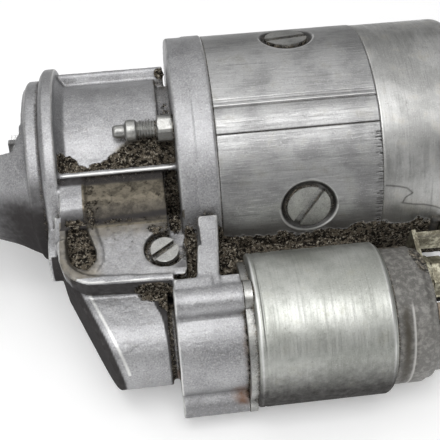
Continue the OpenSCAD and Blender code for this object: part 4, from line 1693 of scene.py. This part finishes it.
@dataclass
class Solenoid:
    """Solenoid can and its moulded cap.

    Attributes:
        start: Front face of the can.
        end: Rear edge of the can.
        radius: Outer radius of the can.
        bore: Inner radius of the can.
        hole: Radius of the hole in the can's front wall.
        wall: Rear side of the can's front wall.
        voxel: Cell size of the moulded cap.
        rounds: Smoothing passes over the moulded cap.
        patches: Places of caked dirt on the cap.
    """

    start: float = 65.1
    end: float = 109.7
    radius: float = 25.99
    bore: float = 23.6
    hole: float = 9.9
    wall: float = 68.2
    voxel: float = 0.42
    rounds: int = 7
    patches: tuple[Patch, ...] = (
        Patch((122.5, 64.0, 18.0), (3.5, 9.0, 8.0), 0.7),
        Patch((116.0, 53.0, 8.0), (8.0, 4.0, 9.0), 0.9),
    )

    def radii(self, x: np.ndarray, a: np.ndarray) -> np.ndarray:
        """Work out the can's outer radius.

        Args:
            x: Places along X.
            a: Angles in degrees.

        Returns:
            The radii.
        """
        r = np.full(x.shape, self.radius)
        front = np.clip(1 - (x - self.start) / 1.3, 0, 1)
        r -= 1.2 * (1 - np.sqrt(1 - front**2))
        r -= 0.22 * hump(x, self.start + 2.5, 0.35)
        rear = np.clip(1 - (self.end - x) / 1.5, 0, 1)
        r -= 1.05 * rear**1.3
        r -= 0.05 * (1 - np.cos(2 * np.radians(a + 40))) * ease(x, 66.0, 80.0)
        return r

    def can(self) -> bpy.types.Object:
        """Build the can.

        Returns:
            The can.
        """
        along = spread(self.start, self.end, 0.8, (
            (self.start, self.start + 1.4, 0.12), (self.start + 1.4, self.start + 3.6, 0.15),
            (self.end - 1.7, self.end, 0.15),
        ))
        bore = [
            (self.end, 24.2), (self.end - 0.2, self.bore), (self.wall, self.bore), (self.wall, self.hole),
            (self.start, self.hole),
        ]
        blank = Blank("solenoid_shell")
        blank.turned(Seat(on_solenoid=True), along, round_angles(320), self.radii, bore)
        obj = blank.finish()
        surface = Surface.of(obj)
        local = surface.local
        r, under = polar(local, PLACES.solenoid_d)
        outer = r > 24.4
        up = np.degrees(np.arctan2(local[:, 2], PLACES.solenoid_d - local[:, 1]))
        grain = coarse_grain(local, 1.4, 63)
        # Dirt on the side that faces the yoke
        band = ease(up + 4.0 * coarse_grain(local, 5.0, 61), 44.0, 30.0) * ease(up, -80.0, -60.0) * outer
        grime = np.clip(band * (0.95 + 0.4 * grain), 0, 1)
        worn = hump(local[:, 0], self.start + 1.0, 0.45) + hump(local[:, 0], self.end - 1.3, 0.5)
        move_points(obj, surface.raised(ease(grime, 0.6, 1.2) * (0.2 + 0.3 * grain)))
        # Painted shade on the can's lower side about its axis, and on its side towards the yoke
        painted_shade = 0.85 * ease(under, 64.0, 2.0) * (under > -120) + 0.3 * ease(up, 62.0, 40.0) * (up > -90)
        put_paint(obj, Paint.GRIME, grime)
        put_paint(obj, Paint.PAINTED_SHADE, painted_shade * outer)
        put_paint(obj, Paint.WORN, 0.7 * worn * outer)
        ride_on(obj, "housing", "can_steel", "solenoid_can")
        return obj

    def cap(self) -> bpy.types.Object:
        """Build the moulded cap.

        Returns:
            The cap.
        """
        obj = copy_of("solenoid_cap", "moulded_cap")
        cast_form(obj, self.voxel, self.rounds)
        surface = Surface.of(obj)
        local = surface.local
        proud = surface.proud(obj, 8)
        move_points(obj, surface.raised(0.05 * flutter(local, 0.9, 71)))
        _, under = polar(local, PLACES.solenoid_d)
        low = ease(under, 82.0, 66.0) * (under > -120.0)
        rubbed = np.maximum(hump(local[:, 0], 115.6, 0.4), 0.30 * ease(local[:, 0], 115.9, 117.2)) * low
        put_paint(obj, Paint.GRIME, lay_patches(local, self.patches, 73))
        put_paint(obj, Paint.STAIN, 0.8 * hump(local[:, 0], 113.2, 1.9) * low)
        put_paint(obj, Paint.WORN, np.maximum(ease(proud, 0.06, 0.25) * 0.8, 0.8 * rubbed))
        ride_on(obj, "housing", "cap_moulding", "solenoid_cap")
        return obj

    def build(self) -> list[bpy.types.Object]:
        """Build the can and the cap."""
        return [self.can(), self.cap()]


@dataclass
class Terminals:
    """Threaded studs with their nuts on the solenoid's cap.

    Attributes:
        seats: Axes of the two studs.
        nut: Start and end of a nut.
        flat: Distance of a nut's flat from its axis.
        stud_start: Inner end of the studs.
        head_end: End of a stud's head.
        stud_end: Free end of the studs.
        head: Radius of a stud's head.
        major: Radius over the threads.
        core: Radius under the nuts.
        depth: Depth of the thread.
        pitch: Pitch of the thread.
    """

    seats: tuple[Seat, ...] = (Seat(133.4, 12.5, True), Seat(-46.6, 12.5, True))
    nut: tuple[float, float] = (127.0, 133.0)
    flat: float = 7.0 * FLAT_SHARE
    stud_start: float = 118.3
    head_end: float = 120.9
    stud_end: float = 141.0
    head: float = 4.8
    major: float = 4.0
    core: float = 3.3
    depth: float = 0.62
    pitch: float = 1.25

    def studs(self) -> bpy.types.Object:
        """Build the studs.

        Returns:
            The studs.
        """
        blank = Blank("threaded_studs")
        form = thread(self.major, self.depth, self.pitch)
        free = self.nut[1] + 0.5

        def radius(x: np.ndarray, a: np.ndarray) -> np.ndarray:
            """Follow the head, the core and the thread with its pointed start."""
            r = np.where(x < self.head_end, self.head, self.core)
            lead = np.maximum(self.stud_end - 0.3 - x, 0)
            return np.where(x > free, np.minimum(form(x, a), self.core - 0.5 + lead), r)

        for seat in self.seats:
            along = spread(self.stud_start, self.stud_end, 1.4, (
                (120.8, 121.0, 0.1), (free - 0.1, self.stud_end, 0.125),
            ))
            bore = [(self.stud_end, 0.0), (self.stud_start, 0.0)]
            blank.turned(seat, along, round_angles(48), radius, bore)
        obj = blank.finish()
        ride_on(obj, "housing", slot_of("terminal_studs"), "terminal_studs")
        return obj

    def nuts(self) -> bpy.types.Object:
        """Build the nuts.

        Returns:
            The nuts.
        """
        blank = Blank("hexagon_nuts")
        near, far = self.nut
        for seat in self.seats:
            along = spread(near, far, 0.5, ((near, near + 0.8, 0.1), (far - 0.8, far, 0.1)))
            bore = [(far, 4.2), (far - 0.7, self.core + 0.06), (near, self.core + 0.06)]
            blank.turned(seat, along, round_angles(144), hexagon(self.flat, near, far), bore)
        obj = blank.finish()
        ride_on(obj, "housing", slot_of("terminal_nuts"), "terminal_nuts")
        return obj

    def build(self) -> list[bpy.types.Object]:
        """Build the studs and the nuts."""
        return [self.studs(), self.nuts()]


@dataclass
class ThroughBolts:
    """Two long bolts that hold the starter together, with their nuts.

    Attributes:
        angles: Angles of the bolts about the shaft.
        reach: Distance of the bolts from the shaft.
        rear: Rear face that the heads bear on.
        nut: Start and end of a nut.
        tip: Outline of the tip and its collar, as x and radius.
        thread_end: End of the thread.
        shank: Radius of the shank.
        major: Radius over the thread.
        depth: Depth of the thread.
        pitch: Pitch of the thread.
        head_corner: Distance of a head's corners from its axis.
        nut_corner: Distance of a nut's sharp corners from its axis.
        worn_corner: Distance of a nut's corners after years of wear.
    """

    angles: tuple[float, float] = (73.0, 253.0)
    reach: float = 35.0
    rear: float = 150.0
    nut: tuple[float, float] = (40.4, 46.3)
    tip: tuple[tuple[float, float], ...] = (
        (25.2, 1.5), (25.7, 2.1), (26.4, 2.3), (29.2, 2.3), (29.5, 2.7), (29.7, 3.3), (30.1, 3.75),
        (31.6, 3.85), (33.0, 3.7), (33.5, 3.2), (33.7, 2.5),
    )
    thread_end: float = 46.6
    shank: float = 2.6
    major: float = 3.0
    depth: float = 0.42
    pitch: float = 1.0
    head_corner: float = 4.6
    nut_corner: float = 5.0
    worn_corner: float = 4.72

    def bolts(self) -> bpy.types.Object:
        """Build the bolts.

        Returns:
            The bolts.
        """
        start, tip_end, end = self.tip[0][0], self.tip[-1][0], self.rear + 3.6
        form = thread(self.major, self.depth, self.pitch)
        head = hexagon(self.head_corner * FLAT_SHARE, self.rear - 2.0, end)
        outline = along_outline(self.tip)

        def radius(x: np.ndarray, a: np.ndarray) -> np.ndarray:
            """Follow the tip, the collar, the thread, the shank and the head."""
            r = np.where(x < self.thread_end, form(x, a), self.shank)
            r = np.where(x < tip_end, outline(x, a), r)
            return np.where(x > self.rear - 0.05, head(x, a), r)

        blank = Blank("long_bolts")
        for angle in self.angles:
            along = spread(start, end, 8.0, (
                (start, tip_end, 0.2), (tip_end, self.thread_end, 0.1), (self.rear - 0.1, end, 0.12),
            ))
            bore = [(end, 2.0), (end - 0.3, 0.0), (start, 0.0)]
            blank.turned(Seat(angle, self.reach), along, round_angles(72), radius, bore)
        obj = blank.finish()
        ride_on(obj, "housing", slot_of("through_bolts"), "through_bolts")
        return obj

    def nuts(self) -> bpy.types.Object:
        """Build the nuts, worn round at their corners.

        Returns:
            The nuts.
        """
        near, far = self.nut
        sharp = hexagon(self.nut_corner * FLAT_SHARE, near, far, 0.9)
        bore = [(far, 2.66), (near, 2.66)]

        def radius(x: np.ndarray, a: np.ndarray) -> np.ndarray:
            """Round the hexagon's corners."""
            return np.minimum(sharp(x, a), self.worn_corner)

        blank = Blank("bolt_nuts")
        for angle in self.angles:
            along = spread(near, far, 0.4, ((near, near + 0.9, 0.1),))
            blank.turned(Seat(angle, self.reach), along, round_angles(96), radius, bore)
        obj = blank.finish()
        ride_on(obj, "housing", slot_of("through_bolt_nuts"), "through_bolt_nuts")
        return obj

    def build(self) -> list[bpy.types.Object]:
        """Build the bolts and their nuts."""
        return [self.bolts(), self.nuts()]


@dataclass(frozen=True)
class Heap:
    """Heap of caked dirt.

    Attributes:
        name: Name of the piece.
        outline: Outline as x and d.
        base: z under the heap.
        crown: z of the top in the middle.
        shoulder: z of the top at the outline.
        rings: Rings from the middle to the outline.
    """

    name: str
    outline: tuple[tuple[float, float], ...]
    base: float
    crown: float
    shoulder: float
    rings: int = 26

    def build(self, seed: int) -> bpy.types.Object:
        """Build the heap.

        Args:
            seed: Number that picks the lumps.

        Returns:
            The heap.
        """
        corners = np.array(self.outline)
        steps = np.linalg.norm(np.roll(corners, -1, axis=0) - corners, axis=1)
        far = np.concatenate([[0.0], np.cumsum(steps)])
        along = np.linspace(0.0, far[-1], int(far[-1] / 0.5), endpoint=False)
        closed = np.append(corners, corners[:1], axis=0)
        ring = np.stack([np.interp(along, far, closed[:, k]) for k in (0, 1)], axis=1)
        middle = corners.mean(axis=0)
        share = np.linspace(0.0, 1.0, self.rings)[:, None, None]
        flat = middle + (ring[None] - middle) * share
        swell = (self.crown - self.shoulder) * (1 - share[..., 0] ** 2)
        top = self.shoulder + swell + np.zeros(flat.shape[:2])
        upper = np.concatenate([flat, top[..., None]], axis=2).reshape(-1, 3)
        upper[:, 2] += 0.85 * coarse_grain(upper, 2.2, seed)
        upper = upper.reshape(*flat.shape[:2], 3)
        foot = np.concatenate([flat[::-1], np.full((*flat.shape[:2], 1), self.base)], axis=2)
        grid = np.concatenate([upper, foot[:1], foot[-1:]])
        blank = Blank(self.name)
        blank.sheet(PLACES.to_bench(grid.reshape(-1, 3)).reshape(grid.shape))
        obj = blank.finish()
        put_paint(obj, Paint.GRIME, np.ones(len(obj.data.vertices)))
        ride_on(obj, "housing", "cast_aluminium")
        return obj


@dataclass
class CakedDirt:
    """Dirt that fills the hollows between the castings.

    Attributes:
        heaps: The heaps.
    """

    heaps: tuple[Heap, ...] = (
        Heap("pocket_dirt", (
            (6.8, 38.6), (14.2, 38.6), (15.2, 44.0), (17.2, 51.0), (17.0, 54.4), (14.4, 57.7), (10.8, 57.2),
            (8.0, 55.0), (7.0, 51.4),
        ), base=9.0, crown=21.6, shoulder=20.8),
        Heap("strip_dirt", (
            (56.2, 44.6), (64.6, 44.6), (65.6, 49.0), (65.4, 53.5), (62.4, 61.0), (56.2, 61.0),
        ), base=-6.0, crown=14.6, shoulder=11.0),
        Heap("gap_dirt", (
            (60.0, 43.4), (112.0, 43.4), (112.0, 50.4), (60.0, 50.4),
        ), base=-4.0, crown=7.6, shoulder=5.6, rings=48),
    )

    def build(self) -> list[bpy.types.Object]:
        """Build every heap."""
        return [heap.build(91 + k) for k, heap in enumerate(self.heaps)]


@dataclass(frozen=True)
class CoilSpring:
    """Coil spring on the solenoid axis, between the housing and a sliding body.

    Attributes:
        name: Name of the piece.
        node: Node that it stands for.
        mover: Body at its moving end; not used.
        fixed: Place of its fixed end.
        moving: Place of its moving end.
        coil: Radius of the coil's middle line.
        wire: Radius of the wire.
        turns: Number of turns.
    """

    name: str
    node: str
    mover: str
    fixed: float
    moving: float
    coil: float
    wire: float
    turns: float

    def build(self) -> bpy.types.Object:
        """Wind the spring.

        Returns:
            The spring.
        """
        steps = int(self.turns * 40)
        share = np.concatenate([[0.0], np.linspace(0.0, 1.0, steps), [1.0]])[:, None]
        thick = np.full((steps + 2, 1), self.wire)
        thick[[0, -1]] = 0.0
        section = np.radians(np.arange(0.0, 360.0, 30.0))[None, :]
        low, high = sorted((self.fixed, self.moving))
        x = low + self.wire + share * (high - low - 2 * self.wire) + thick * np.sin(section)
        r = self.coil + thick * np.cos(section)
        turn = share * self.turns * 360.0 + np.zeros_like(section)
        points = Seat(on_solenoid=True).place(x.ravel(), turn.ravel(), r.ravel()).reshape(*x.shape, 3)
        blank = Blank(self.name)
        blank.sheet(points)
        obj = blank.finish()
        dress(obj, FINISHES["spring_steel"])
        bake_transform(obj)
        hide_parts(self.node)
        return obj


@dataclass
class SolenoidSprings:
    """Return springs of the plunger and of the contact bridge.

    Attributes:
        springs: The springs.
    """

    springs: tuple[CoilSpring, ...] = (
        CoilSpring("plunger_return_spring", "plunger_spring", "plunger",
                   fixed=64.9, moving=49.85, coil=10.9, wire=0.65, turns=5.0),
        CoilSpring("contact_return_spring", "contact_spring", "contact",
                   fixed=120.85, moving=116.05, coil=2.9, wire=0.42, turns=2.5),
    )

    def build(self) -> list[bpy.types.Object]:
        """Build both springs."""
        return [spring.build() for spring in self.springs]


def slot_of(node: str) -> str:
    """Return the finish slot of a frame node."""
    return next(s["material_slot"] for s in frame["record"]["subparts"] if s["node"] == node)


@dataclass
class FramePieces:
    """Frame nodes that keep their shape and get bevelled edges and a finish.

    Attributes:
        edge: Usual width of a bevel.
        edges: Other widths, by node.
    """

    edge: float = 0.18
    edges: dict[str, float] = field(default_factory=lambda: {
        "pole_screws": 0.3,
        "pivot_bolt": 0.35,
        "solenoid_flange": 0.3,
        "lead_grommet": 0.9,
        "connecting_strap": 0.2,
        "switch_blade": 0.12,
        "blade_block": 0.35,
        "rear_bearing_cap": 0.3,
        "drive_pinion": 0.25,
        "shift_lever": 0.5,
        "clutch_shell": 0.4,
    })

    def build(self) -> int:
        """Dress every frame node that still shows.

        Returns:
            The number of nodes dressed.
        """
        count = 0
        for name, obj in frame["nodes"].items():
            dress(obj, FINISHES[slot_of(name)])
            if obj.hide_render:
                continue
            machined(obj, self.edges.get(name, self.edge))
            count += 1
        LOG.info("frame nodes dressed: %d", count)
        return count


@dataclass
class Studio:
    """Camera, floor and lights.

    Attributes:
        camera_mm: Place of the camera.
        yaw: Camera yaw in degrees.
        pitch: Camera pitch in degrees.
        roll: Camera roll in degrees.
        lens: Focal length for a 36 mm wide sensor.
        floor_glow: White that the floor adds where the camera or a gloss sees it.
        sky: Strength of the even light.
    """

    camera_mm: tuple[float, float, float] = (37.4, -254.5, 208.1)
    yaw: float = 5.79
    pitch: float = -43.45
    roll: float = -1.49
    lens: float = 70.1
    floor_glow: float = 0.22
    sky: float = 0.28

    def camera(self) -> None:
        """Place the camera as the photograph was taken."""
        yaw, pitch, roll = (math.radians(a) for a in (self.yaw, self.pitch, self.roll))
        ahead = Vector((math.sin(yaw) * math.cos(pitch), math.cos(yaw) * math.cos(pitch), math.sin(pitch)))
        level = Vector((math.cos(yaw), -math.sin(yaw), 0))
        up = level.cross(ahead)
        right = math.cos(roll) * level + math.sin(roll) * up
        top = -math.sin(roll) * level + math.cos(roll) * up
        data = bpy.data.cameras.new("camera")
        data.lens = self.lens
        data.sensor_width = 36
        data.clip_start = 0.01
        data.clip_end = 10
        cam = bpy.data.objects.new("camera", data)
        turn = Matrix((right, top, -ahead)).transposed().to_4x4()
        cam.matrix_world = Matrix.Translation(Vector(self.camera_mm) * MM) @ turn
        bpy.context.scene.collection.objects.link(cam)
        bpy.context.scene.camera = cam

    def floor(self) -> None:
        """Lay a pale floor under the starter."""
        low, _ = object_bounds()
        bpy.ops.mesh.primitive_plane_add(size=6, location=(0, 0, low.z - 0.0001))
        plane = bpy.context.object
        plane.name = "floor"
        plane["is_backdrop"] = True
        g = Graph("pale_floor")
        tree = g.tree
        fleck = g.noise(0.05, 3.0, 0.5)
        colour = g.blend(g.ramp(fleck, 0.3, 0.7), (0.88, 0.88, 0.88), (0.90, 0.90, 0.90))
        path = tree.nodes.new("ShaderNodeLightPath")
        seen = g.sum("MAXIMUM", path.outputs["Is Camera Ray"], path.outputs["Is Glossy Ray"])
        seen = g.sum("MAXIMUM", seen, path.outputs["Is Transmission Ray"])
        g.shader.inputs["Emission Color"].default_value = (1, 1, 1, 1)
        g.link(g.sum("MULTIPLY", seen, self.floor_glow), g.shader.inputs["Emission Strength"])
        plane.data.materials.append(g.close(colour, 0.0, 0.9, g.bump(fleck, 0.02)))

    def world(self) -> None:
        """Light the scene evenly."""
        world = bpy.data.worlds.new("studio")
        bpy.context.scene.world = world
        world.use_nodes = True
        sky = world.node_tree.nodes["Background"]
        sky.inputs["Color"].default_value = (1, 1, 1, 1)
        sky.inputs["Strength"].default_value = self.sky

    def lamp(self, name: str, place: tuple[float, float, float], size: float, power: float) -> None:
        """Hang one soft square lamp that faces the starter.

        Args:
            name: Name of the lamp.
            place: Place in metres.
            size: Side in metres.
            power: Power in watts.
        """
        data = bpy.data.lights.new(name, "AREA")
        data.size = size
        data.energy = power
        obj = bpy.data.objects.new(name, data)
        obj.location = place
        target = Vector((0.06, -0.03, 0))
        obj.rotation_euler = (target - Vector(place)).to_track_quat("-Z", "Y").to_euler()
        bpy.context.scene.collection.objects.link(obj)

    def build(self) -> None:
        """Set up the whole studio."""
        bpy.context.scene.view_settings.view_transform = "Standard"
        self.camera()
        self.floor()
        self.world()
        self.lamp("overhead", (0.05, -0.52, 0.99), size=0.7, power=6.5)
        self.lamp("rear", (-0.12, 0.34, 1.05), size=1.3, power=4.6)
        self.lamp("front", (-0.62, -0.80, 0.72), size=0.9, power=3.0)


def main() -> None:
    """Build and dress the whole starter."""
    logging.basicConfig(level=logging.INFO, format="%(message)s")
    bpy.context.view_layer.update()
    Studio().build()
    FINISHES.stock()
    for assembly in (
        DriveHousing(), YokeTube(), EndCap(), Solenoid(), Terminals(), ThroughBolts(), CakedDirt(),
        SolenoidSprings(), FramePieces(),
    ):
        assembly.build()
        LOG.info("%s done", type(assembly).__name__)


if __name__ == "__main__":
    main()
